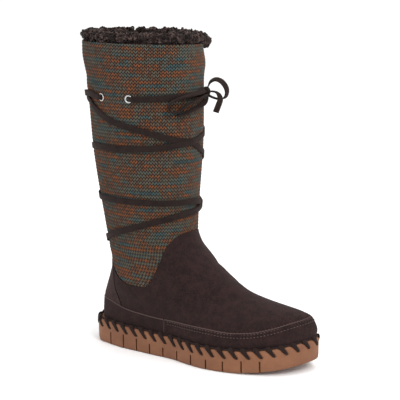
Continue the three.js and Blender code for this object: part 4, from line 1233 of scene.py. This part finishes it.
cover = suede_ring("foot_cover", lambda a: band_top(a) - COVER_TUCK,
                   lambda a: edge_height(SCALLOP, a), COVER_OFF, SUEDE_ROWS, 1)
seam_at, across_seam = seam_plane(COUNTER_TOP, COUNTER_FOOT)
step = Vector(across_seam) * SEAM_GAP / 2 * MM
vamp = keep_part(cover, "suede_vamp", seam_at + step, across_seam, True)
counter = keep_part(cover, "suede_heel_patch", seam_at - step, across_seam, False)
thicken(vamp, SUEDE_THICKNESS, 0.35)
thicken(counter, SUEDE_THICKNESS, 0.35)
finish_piece(vamp, foot_suede)
finish_piece(counter, counter_suede_painted_lighter)
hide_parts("vamp")
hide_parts("heel_counter")
bpy.data.objects.remove(cover)

band = suede_ring("suede_band", lambda a: np.zeros_like(a) + 0.2, band_top, BAND_OFF, BAND_ROWS, -1)
joint_at = spot(np.array([BAND_JOINT * SOLE_LENGTH, 0, 0]))
step = Vector((SEAM_GAP / 3 * MM, 0, 0))
band_front = keep_part(band, "suede_band_front", joint_at + step, (1, 0, 0), True)
band_rear = keep_part(band, "suede_band_rear", joint_at - step, (1, 0, 0), False)
for piece, node_name in ((band_front, "band_front"), (band_rear, "band_rear")):
    thicken(piece, BAND_THICKNESS, 0.5)
    finish_piece(piece, band_suede)
    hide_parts(node_name)
bpy.data.objects.remove(band)
print("vamp", len(vamp.data.polygons), "faces, front band", len(band_front.data.polygons), "faces")

# %% [markdown]
# ## Seam threads
#
# Two rows of short stitches run along the top of the front band, right round the toe. Each stitch is a
# thin tube with tapered ends that is half sunk in the leather, as if pulled tight, and a row is one mesh.

# %% Seam threads
THREAD_PITCH = 3.6
THREAD_LENGTH = 2.1
THREAD_RADIUS = 0.42
THREAD_ROWS = (2.0, 5.0)
THREAD_SIDES = 6
THREAD_SHAPE = ((0.0, 0.35), (0.2, 1.0), (0.8, 1.0), (1.0, 0.35))

# Twisted thread, drawn through wax: a slight shine that sets the stitches off from the nap.
thread, tree, output = new_material("waxed_thread")
shader = add(tree, "ShaderNodeBsdfPrincipled", {"Base Color": linear("#4a3b37"), "Roughness": 0.7,
                                                "Specular IOR Level": 0.3})
tree.links.new(shader.outputs[0], output.inputs[0])


def sew(name, line, normal):
    """A row of short stitches of thread along a line that lies on the leather."""
    walked = np.concatenate([[0], np.cumsum(np.linalg.norm(np.diff(line, axis=0), axis=1))])
    count = int(walked[-1] / THREAD_PITCH)
    vertices, faces = [], []
    for i in range(count):
        begin = i * THREAD_PITCH
        rings = []
        for share, size in THREAD_SHAPE:
            at = begin + share * THREAD_LENGTH
            middle = np.array([np.interp(at, walked, line[:, k]) for k in range(3)])
            up = np.array([np.interp(at, walked, normal[:, k]) for k in range(3)])
            middle = middle + up * THREAD_RADIUS * 0.5 * size
            later = np.array([np.interp(at + 0.3, walked, line[:, k]) for k in range(3)])
            before = np.array([np.interp(at - 0.3, walked, line[:, k]) for k in range(3)])
            side = unit(np.cross(up, later - before))
            for angle in np.arange(THREAD_SIDES) * 2 * math.pi / THREAD_SIDES:
                rings.append(middle + (side * math.cos(angle) + up * math.sin(angle))
                             * THREAD_RADIUS * size)
        start = len(vertices)
        vertices.extend(rings)
        for r in range(len(THREAD_SHAPE) - 1):
            row_start = start + THREAD_SIDES * r
            for j in range(THREAD_SIDES):
                a, b = row_start + j, row_start + (j + 1) % THREAD_SIDES
                faces.append((a, b, b + THREAD_SIDES, a + THREAD_SIDES))
        row_start = start + THREAD_SIDES * (len(THREAD_SHAPE) - 1)
        faces.append(tuple(start + j for j in range(THREAD_SIDES - 1, -1, -1)))
        faces.append(tuple(row_start + j for j in range(THREAD_SIDES)))
    piece = mesh_piece(name, in_scene(np.array(vertices)), faces)
    faces_outwards(piece)
    return piece


around, _ = even_around(FOOT_EVEN_AT, 801)
around = around[last(around, np.full_like(around, 10.0))[:, 0] > BAND_JOINT * SOLE_LENGTH + 4]
for row, below in enumerate(THREAD_ROWS):
    height = band_top(around) - below
    line = on_last(around, height, np.full_like(around, 1.0))
    seam = sew("band_thread_%d" % (row + 1), line, outward(around, height))
    finish_piece(seam, thread)
    print("thread row", row + 1, "has", len(seam.data.polygons), "faces")

# %% [markdown]
# ## Gum sole
#
# The sole is moulded from gum rubber and sewn to the foot with a thick cord. Round its top edge it has
# slanting notches that the cord lies in, which leave a row of rounded teeth, and up its sides run flex
# grooves that meet across the tread. The sides are one fine ring of faces, so that the notches can be
# pressed into it point by point. The grooves are cut with a boolean, because they are sharp.

# %% Gum rubber
# Gum rubber, pressed in a mould: an even satin skin, with faint clouds from the flow and a fine grain.
CLOUDS_PER_METRE = 38.0  # 26 mm clouds
GRAINS_PER_METRE = 900.0  # grains of 1.1 mm, drawn coarser than the mould's own
gum_rubber, tree, output = new_material("moulded_gum_rubber")
place = add(tree, "ShaderNodeTexCoord").outputs["Object"]
cloud = add(tree, "ShaderNodeTexNoise", {"Vector": place, "Scale": CLOUDS_PER_METRE, "Detail": 6.0,
                                         "Roughness": 0.6})
grain = add(tree, "ShaderNodeTexNoise", {"Vector": place, "Scale": GRAINS_PER_METRE, "Detail": 2.0})
ramp = add(tree, "ShaderNodeValToRGB", {"Fac": cloud.outputs["Fac"]})
ramp.color_ramp.elements[0].position = 0.3
ramp.color_ramp.elements[0].color = linear("#6b432c")
ramp.color_ramp.elements[1].position = 0.7
ramp.color_ramp.elements[1].color = linear("#815539")
bump = add(tree, "ShaderNodeBump", {"Height": grain.outputs["Fac"], "Strength": 0.25, "Distance": 0.0005})
shader = add(tree, "ShaderNodeBsdfPrincipled", {
    "Base Color": ramp.outputs["Color"], "Roughness": 0.62, "Specular IOR Level": 0.35,
    "Normal": bump.outputs[0]})
tree.links.new(shader.outputs[0], output.inputs[0])
print("material", gum_rubber.name)

# %% [markdown]
# ## The sole's form
#
# The sole is laid as rings from the middle of its underside, out round the lower edge, up the side and
# in over the top. Between two columns of points lies a fifteenth of a stitch, so that every notch has the
# same shape. The innermost rings fall on one line and are merged, which closes the sole.

# %% Sole form
STITCHES = 46
STITCH_COLUMNS = 15
STITCH_FALL = 8.6
STITCH_RUN = 6.4
NOTCH_DEPTH = 1.5
NOTCH_HALF = 2.0
NOTCH_BELOW = 0.8
NOTCH_FADE = 1.2
TOOTH_DROP = 1.0
SIDE_ROWS = ((0, 2.2), (0.015, 1.2), (0.04, 0.6), (0.1, 0.25), (0.2, 0.05), (0.35, 0), (0.5, 0))
UNDER_ROWS = (0.0, 0.3, 0.6, 0.85)
UNDER_INSET = 2.2
NOTCHED_SIDE = 11.25
TOP_STEP = 0.75
EDGE_ROUNDING = 2.0
ROUNDING_DEPTH = 2.5
DROP_DEPTH = 5.0
TOP_SUNK = 0.4
TOP_ROWS = ((4.0, 1.0), (6.0, 0.9), (6.0, 0.5), (6.0, 0.0))

fine = np.linspace(0, 1, 4001)
edge_walk = np.linalg.norm(np.diff(outline_point(fine, 0.0), axis=0), axis=1)
edge_walk = np.concatenate([[0], np.cumsum(edge_walk)])
EDGE_LENGTH = edge_walk[-1]
pitch = EDGE_LENGTH / STITCHES


def around_at(distance):
    """Place round the sole for a distance walked along its edge."""
    return np.interp(np.asarray(distance) % EDGE_LENGTH, edge_walk, fine)


def beside_stitch(distance, depth):
    """How far a point of the side lies from the middle of the nearest stitch, along the edge."""
    slanted = distance - depth * STITCH_RUN / STITCH_FALL
    return (slanted + pitch / 2) % pitch - pitch / 2


def side_point(distance, depth, out, up=0.0):
    """A point beside the sole's edge: how deep under its top, how far out, how far up."""
    flat = outline_point(around_at(distance), out)
    return np.stack([flat[..., 0], flat[..., 1], sole_top(flat[..., 0]) - depth + up], axis=-1)


walked = np.arange(STITCHES * STITCH_COLUMNS + 1) * pitch / STITCH_COLUMNS


def level_ring(inset, share, height_at, up=0.0):
    """A ring inside the sole's outline, shrunk by a share to the line midway between its two sides."""
    flat = outline_point(around_at(walked), -inset)
    middle = (flat + flat[::-1]) / 2
    flat = middle + (flat - middle) * share
    return np.stack([flat[:, 0], flat[:, 1], height_at(flat[:, 0]) + up], axis=-1)


rings = [level_ring(UNDER_INSET + 0.5 * (1 - share), share, sole_bottom) for share in UNDER_ROWS]
for share, inset in SIDE_ROWS:
    flat = outline_point(around_at(walked), -inset)
    bottom, top = sole_bottom(flat[:, 0]), sole_top(flat[:, 0])
    rings.append(np.stack([flat[:, 0], flat[:, 1], bottom + share * (top - bottom)], axis=-1))
for depth in np.arange(NOTCHED_SIDE, -0.01, -TOP_STEP):
    gap = beside_stitch(walked, depth)
    near = np.exp(-(gap / NOTCH_HALF) ** 4)
    fade = soft_step((STITCH_FALL + NOTCH_BELOW - depth) / NOTCH_FADE)
    rounding = EDGE_ROUNDING * max(0.0, 1 - depth / ROUNDING_DEPTH) ** 2
    out = -NOTCH_DEPTH * near * fade - rounding
    drop = TOOTH_DROP * np.exp(-(gap / (1.5 * NOTCH_HALF)) ** 2) * max(0.0, 1 - depth / DROP_DEPTH)
    rings.append(side_point(walked, depth, out, -drop))
for inset, share in TOP_ROWS:
    rings.append(level_ring(inset, share, sole_top, -TOP_SUNK))
sole = lay_sheet("gum_sole", np.array(rings))
print("the sole's edge is", round(EDGE_LENGTH), "mm long, with a stitch every", round(pitch, 1), "mm")

# %% [markdown]
# ## Flex grooves
#
# Eleven grooves let the thick sole bend. Each cuts the lower part of both sides and meets its fellow in a
# shallow channel across the tread. A groove's cutter is one flat profile given a width, and all cutters
# are joined first, so that the boolean runs once.

# %% Flex grooves
GROOVES = (
    ("at", "share"),
    (30.7, 0.55),
    (50.5, 0.62),
    (69.0, 0.58),
    (87.0, 0.48),
    (105.0, 0.45),
    (124.5, 0.47),
    (145.0, 0.5),
    (165.0, 0.47),
    (184.5, 0.5),
    (204.5, 0.56),
    (223.0, 0.52),
)
GROOVE_WIDTH = 1.8
GROOVE_DEPTH = 3.5
CHANNEL = 2.5
FAR_OUT = 80.0
BELOW = -5.0

cutters = []
for x, groove_share in GROOVES[1:]:
    share = x / SOLE_LENGTH
    oval = 2 * math.sqrt(share * (1 - share))
    outer = centre_line(x) - outline_outer(share) * BALL_WIDTH * oval + GROOVE_DEPTH
    inner = centre_line(x) + outline_inner(share) * BALL_WIDTH * oval - GROOVE_DEPTH
    bottom = float(sole_bottom(x))
    top = bottom + groove_share * float(sole_top(x) - bottom)
    profile = [(-FAR_OUT, BELOW), (FAR_OUT, BELOW), (FAR_OUT, top), (inner, top),
               (inner, bottom + CHANNEL), (outer, bottom + CHANNEL), (outer, top), (-FAR_OUT, top)]
    near = [np.array([x - GROOVE_WIDTH / 2, y, z]) for y, z in profile]
    far = [np.array([x + GROOVE_WIDTH / 2, y, z]) for y, z in profile]
    count = len(profile)
    faces = [tuple(range(count - 1, -1, -1)), tuple(range(count, 2 * count))]
    faces += [(i, (i + 1) % count, (i + 1) % count + count, i + count) for i in range(count)]
    cutters.append(mesh_piece("groove", in_scene(near + far), faces))
join(cutters)
cutter = cutters[0]
faces_outwards(cutter)
apply_modifier(sole, "BOOLEAN", object=cutter, operation="DIFFERENCE", solver="EXACT")
bpy.data.objects.remove(cutter)
finish_piece(sole, gum_rubber, smooth=False)
sole.data.shade_smooth()
only(sole)
bpy.ops.object.shade_smooth_by_angle(angle=math.radians(38))
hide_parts("outsole")
print("sole", len(sole.data.polygons), "faces")

# %% [markdown]
# ## Whipstitch
#
# A waxed suede cord runs along the sole's edge, and slanting stitches of the same cord hold it down. Each
# stitch comes over the cord, lies in its notch and goes into a hole. They are short tubes swept along
# the same slanting line that the notches follow.

# %% Cord and stitches
CORD_ROUND = tuple((math.cos(a), math.sin(a)) for a in np.arange(10) * 2 * math.pi / 10)
CORD_RADIUS = 1.05
CORD_INSET = 1.7
CORD_SUNK = 0.35
STITCH_ROUTE = (
    ("depth", "out", "width", "thick"),
    (-1.0, -3.6, 4.0, 1.4),
    (-2.1, -2.2, 4.6, 1.5),
    (-1.7, -0.8, 5.2, 1.8),
    (-0.2, 0.0, 5.4, 2.2),
    (1.8, 0.1, 4.8, 2.4),
    (4.6, 0.2, 3.7, 2.0),
    (7.2, 0.2, 2.6, 1.6),
    (8.8, -0.8, 1.6, 1.2),
)
# Split leather, cut round and waxed: almost black, dull, with a coarse nap pressed flat.
waxed_cord = split_suede("waxed_suede_cord", "#160e0c", "#281b18", "#281b18", 0.0, 0.6)

cord_walk = np.linspace(0, EDGE_LENGTH, 360, endpoint=False)
cord_middle = side_point(cord_walk, 0, -CORD_INSET, CORD_RADIUS - CORD_SUNK)
cord_middle = np.concatenate([cord_middle, cord_middle[:1]])
ahead = unit(np.gradient(cord_middle, axis=0))
wide = np.broadcast_to(np.array([0, 0, 1.0]), cord_middle.shape)
running = sweep("edge_cord", cord_middle, wide, np.cross(ahead, wide), 2 * CORD_RADIUS,
                2 * CORD_RADIUS, CORD_ROUND)

stitches = [running]
for i in range(STITCHES):
    rows = through(STITCH_ROUTE[1:], 1.1)
    depth, out = rows[:, 0], rows[:, 1]
    walk_to = i * pitch + np.maximum(depth, -1.0) * STITCH_RUN / STITCH_FALL
    stitch_middle = side_point(walk_to, depth, out)
    ahead = unit(np.gradient(stitch_middle, axis=0))
    straight = side_point(walk_to + 1, depth, out) - side_point(walk_to - 1, depth, out)
    wide = unit(straight - ahead * np.sum(straight * ahead, axis=1, keepdims=True))
    stitches.append(sweep("stitch", stitch_middle, wide, np.cross(ahead, wide), rows[:, 2], rows[:, 3],
                          CORD_ROUND))
join(stitches)
finish_piece(running, waxed_cord)
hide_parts("whipstitch")
print(STITCHES, "whipstitches,", len(running.data.polygons), "faces")

# %% [markdown]
# ## Fleece
#
# The shaft is lined with sherpa, a curly pile fleece, which folds out over its top edge as the collar.
# Its colour comes from a noise of tufts, with painted shade between them and painted light at their
# tips, and a fine bump stands for hairs that are too thin to model.

# %% Curly fleece
TUFTS_PER_METRE = 170.0  # tufts of 6 mm
HAIRS_PER_METRE = 1400.0  # 0.7 mm, drawn coarser than a hair so that they show


def fleece(name, dark, middle_tone, light):
    """Matted, curly pile: dull, with painted shade in the hollows and painted light on the tips."""
    material, tree, output = new_material(name)
    place = add(tree, "ShaderNodeTexCoord").outputs["Object"]
    tufts = add(tree, "ShaderNodeTexNoise", {"Vector": place, "Scale": TUFTS_PER_METRE,
                                             "Detail": 4.0, "Roughness": 0.65})
    hairs = add(tree, "ShaderNodeTexNoise", {"Vector": place, "Scale": HAIRS_PER_METRE, "Detail": 2.0})
    ramp = add(tree, "ShaderNodeValToRGB", {"Fac": tufts.outputs["Fac"]})
    ramp.color_ramp.elements.new(0.5)
    for element, position, code in zip(ramp.color_ramp.elements, (0.34, 0.5, 0.7),
                                       (dark, middle_tone, light)):
        element.position = position
        element.color = linear(code)
    bump = add(tree, "ShaderNodeBump", {"Height": hairs.outputs["Fac"], "Strength": 0.5,
                                        "Distance": 0.0006})
    shader = add(tree, "ShaderNodeBsdfPrincipled", {
        "Base Color": ramp.outputs["Color"], "Roughness": 1.0, "Specular IOR Level": 0.05,
        "Sheen Weight": 0.1, "Sheen Roughness": 0.5, "Normal": bump.outputs[0]})
    tree.links.new(shader.outputs[0], output.inputs[0])
    return material


# Sherpa, knitted pile that is brushed and curled: dull taupe, with painted shade in its hollows. The
# lining is the same pile, trodden and rubbed flatter, so it is paler and more even, with painted shade in
# its hollows too.
collar_fleece = fleece("taupe_sherpa", "#0e0908", "#241a18", "#625049")
lining_fleece = fleece("lining_fleece", "#2a1f1e", "#453836", "#6a5b58")
print("fleeces:", collar_fleece.name, lining_fleece.name)

# %% [markdown]
# ## The collar
#
# The collar is a soft ring of uneven height that hides the knit's raw edge. Curls are the sign of sherpa,
# so small rings of fibre are scattered on it, half sunk and turned every way, and more of them hang over
# on the inner side of the front, where the fleece is folded out. One joined mesh keeps it quick.

# %% Collar
FUR_HEIGHT = 8.5
FUR_DEPTH = 11.0
FUR_INSET = 7.0
COLLAR_COLUMNS = 300
COLLAR_SIDES = 28
CURLS = 1700
CURL_RADIUS = 1.8
CURL_THICK = 0.9
CURL_STEPS = 9
CURL_SIDES = 5
FLUFF_TURN = 34.0
FLUFF_CURLS = 120
FLUFF_WIDTH = 13
FLUFF_DROP = 5.2
COLLAR_LIFT = 3.4
LUMP_HEIGHT = 1.7


def lumps(around, angle, seed):
    """Uneven height of the fleece at a place of the collar, from -1 to 1."""
    a = 2 * np.pi * around
    value = np.sin(17 * a + seed) * np.sin(2 * angle + 3 * a)
    value = value + 0.8 * np.sin(31 * a + 2 * angle + 1.7 * seed) + 0.6 * np.sin(23 * a - 3 * angle)
    return value / 2.4


def collar_point(around, angle, out):
    """A point of the collar's skin. angle goes round the ring's section from straight out, upwards."""
    base = last(around, np.full_like(around, UPPER_HEIGHT))
    straight = outward(around, np.full_like(around, UPPER_HEIGHT)) * np.array([1, 1, 0])
    straight = unit(straight)
    turn = 360 * ((around + 0.5) % 1.0)
    fluff = np.exp(-(((turn - FLUFF_TURN + 180) % 360 - 180) / FLUFF_WIDTH) ** 2)
    across = (FUR_DEPTH / 2 + out) * np.cos(angle) - FUR_INSET + FLUFF_DROP * fluff
    up = (FUR_HEIGHT / 2 + out) * np.sin(angle) + FUR_HEIGHT / 2 - FLUFF_DROP * fluff
    point = base + straight * across[..., None]
    point[..., 2] += up + COLLAR_LIFT + FRONT_RISE * (1 - np.cos(2 * np.pi * around)) / 2
    return point, straight


around = np.linspace(0, 1, COLLAR_COLUMNS + 1)[None, :]
angle = np.linspace(0, 2 * np.pi, COLLAR_SIDES + 1)[:, None]
around, angle = np.broadcast_arrays(around, angle)
skin, _ = collar_point(around, angle, LUMP_HEIGHT * lumps(around, angle, 0.4) - 0.7)
collar = lay_sheet("collar_ring", skin)

dice = np.random.default_rng(5)
curl_around = dice.random(CURLS)
curl_angle = dice.uniform(-0.42 * np.pi, 1.35 * np.pi, CURLS)
curl_around[:FLUFF_CURLS] = turn_to_around(dice.normal(FLUFF_TURN, 7, FLUFF_CURLS))
curl_angle[:FLUFF_CURLS] = dice.uniform(-0.5 * np.pi, 0.2 * np.pi, FLUFF_CURLS)
centres, _ = collar_point(curl_around, curl_angle,
                          LUMP_HEIGHT * lumps(curl_around, curl_angle, 0.4)
                          + dice.uniform(-0.6, 0.5, CURLS))
round_way = np.arange(CURL_STEPS) * 2 * np.pi / CURL_STEPS
tube_way = np.arange(CURL_SIDES) * 2 * np.pi / CURL_SIDES
curl_faces = []
for i in range(CURL_STEPS):
    for j in range(CURL_SIDES):
        a = i * CURL_SIDES + j
        b = i * CURL_SIDES + (j + 1) % CURL_SIDES
        c = ((i + 1) % CURL_STEPS) * CURL_SIDES + (j + 1) % CURL_SIDES
        d = ((i + 1) % CURL_STEPS) * CURL_SIDES + j
        curl_faces.append((a, d, c, b))
vertices = []
faces = []
for i in range(CURLS):
    size = CURL_RADIUS * dice.uniform(0.7, 1.25)
    thick_curl = CURL_THICK * dice.uniform(0.8, 1.3)
    frame_of_curl = np.array(Matrix.Rotation(dice.uniform(0, 6.28), 3, dice.normal(size=3)))
    reach = size + thick_curl * np.cos(tube_way)[None, :]
    local = np.stack([reach * np.cos(round_way)[:, None] * dice.uniform(0.75, 1.1),
                      reach * np.sin(round_way)[:, None],
                      thick_curl * np.sin(tube_way)[None, :] + 0.35 * np.sin(2 * round_way)[:, None]],
                     axis=-1).reshape(-1, 3)
    start = len(vertices)
    vertices.extend(local @ frame_of_curl.T + centres[i])
    faces.extend([tuple(start + k for k in face) for face in curl_faces])
curls = mesh_piece("curls", in_scene(np.array(vertices)), faces)
join([collar, curls])
collar.name = "sherpa_collar"
finish_piece(collar, collar_fleece)
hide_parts("fur_collar")
print("collar", len(collar.data.polygons), "faces")

# %% [markdown]
# ## Lining
#
# Down the shaft the fleece is seen only from above. It could be curls too, but pressed tufts in one sheet
# look the same at that depth. The sheet has a back of its own, so that it is a closed wall.

# %% Lining
LINING_COLUMNS = 240
LINING_ROWS = 120
LINING_OFF = -3.9
LINING_FROM = 4.5
BACK_ROWS = 90
BACK_OFF = -KNIT_WALL - 1.35
around, walk = even_around(EVEN_AT, LINING_COLUMNS + 1)
height = np.linspace(LINING_FROM, UPPER_HEIGHT + 1, LINING_ROWS)[:, None] * np.ones(LINING_COLUMNS + 1)
places = np.broadcast_to(around, height.shape)
tufted = (np.sin(walk / 1.9 + height / 2.6) * np.sin(height / 1.7 - walk / 3.1)
          + np.sin(walk / 3.7 - height / 2.2))
tufted[:, -1] = tufted[:, 0]
inner = on_last(places, height, LINING_OFF + 0.35 * tufted)
back_height = np.linspace(UPPER_HEIGHT, LINING_FROM, BACK_ROWS)[:, None] * np.ones(LINING_COLUMNS + 1)
back = on_last(np.broadcast_to(around, back_height.shape), back_height,
               np.full(back_height.shape, BACK_OFF))
lining = lay_sheet("fleece_lining", np.concatenate([inner, back, inner[:1]]), flip=True)
finish_piece(lining, lining_fleece)
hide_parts("upper")
print("lining", len(lining.data.polygons), "faces")

# %% [markdown]
# ## Footbed
#
# The footbed is a fleece-covered pad that lies on the sole and closes the view down the shaft. It is laid
# as rings that shrink to the foot's middle line, with a slightly wavy top.

# %% Footbed
BED_INSET = 4.3
BED_RINGS = ((0, 0.2), (1, 0.2), (1.0, 3.4), (0.985, 4.1), (0.9, 4.3), (0.75, 4.1), (0.55, 4.2),
             (0.35, 4.0), (0.15, 4.2), (0, 4.1))
around = np.linspace(0, 1, 161)
rim = last(around, np.zeros_like(around)) + outward(around, np.full_like(around, 1.0)) * -BED_INSET
rings = []
for share, up in BED_RINGS:
    middle_y = centre_line(rim[:, 0])
    y = middle_y + (rim[:, 1] - middle_y) * share
    rings.append(np.stack([rim[:, 0], y, sole_top(rim[:, 0]) + 0.3 + up
                           + 0.12 * np.sin(rim[:, 0] / 2.3) * share], axis=-1))
footbed = lay_sheet("fleece_footbed", np.array(rings))
finish_piece(footbed, lining_fleece)
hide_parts("insole")
print("footbed", len(footbed.data.polygons), "faces")

# %% [markdown]
# ## Finish
#
# A mesh whose faces point outwards has a volume above zero, so the last cell prints each new piece's
# volume.

# %% Check and finish
for piece in made:
    mesh = piece.data
    mesh.calc_loop_triangles()
    places = np.empty(3 * len(mesh.vertices))
    mesh.vertices.foreach_get("co", places)
    corner = np.empty(3 * len(mesh.loop_triangles), int)
    mesh.loop_triangles.foreach_get("vertices", corner)
    a, b, c = places.reshape(-1, 3)[corner.reshape(-1, 3)].transpose(1, 0, 2)
    volume = float(np.sum(a * np.cross(b, c)) / 6 * 1e6)
    print(piece.name, len(mesh.loop_triangles), "triangles,", round(volume, 2), "cm3",
          "" if volume > 0 else "TURNED INSIDE OUT")
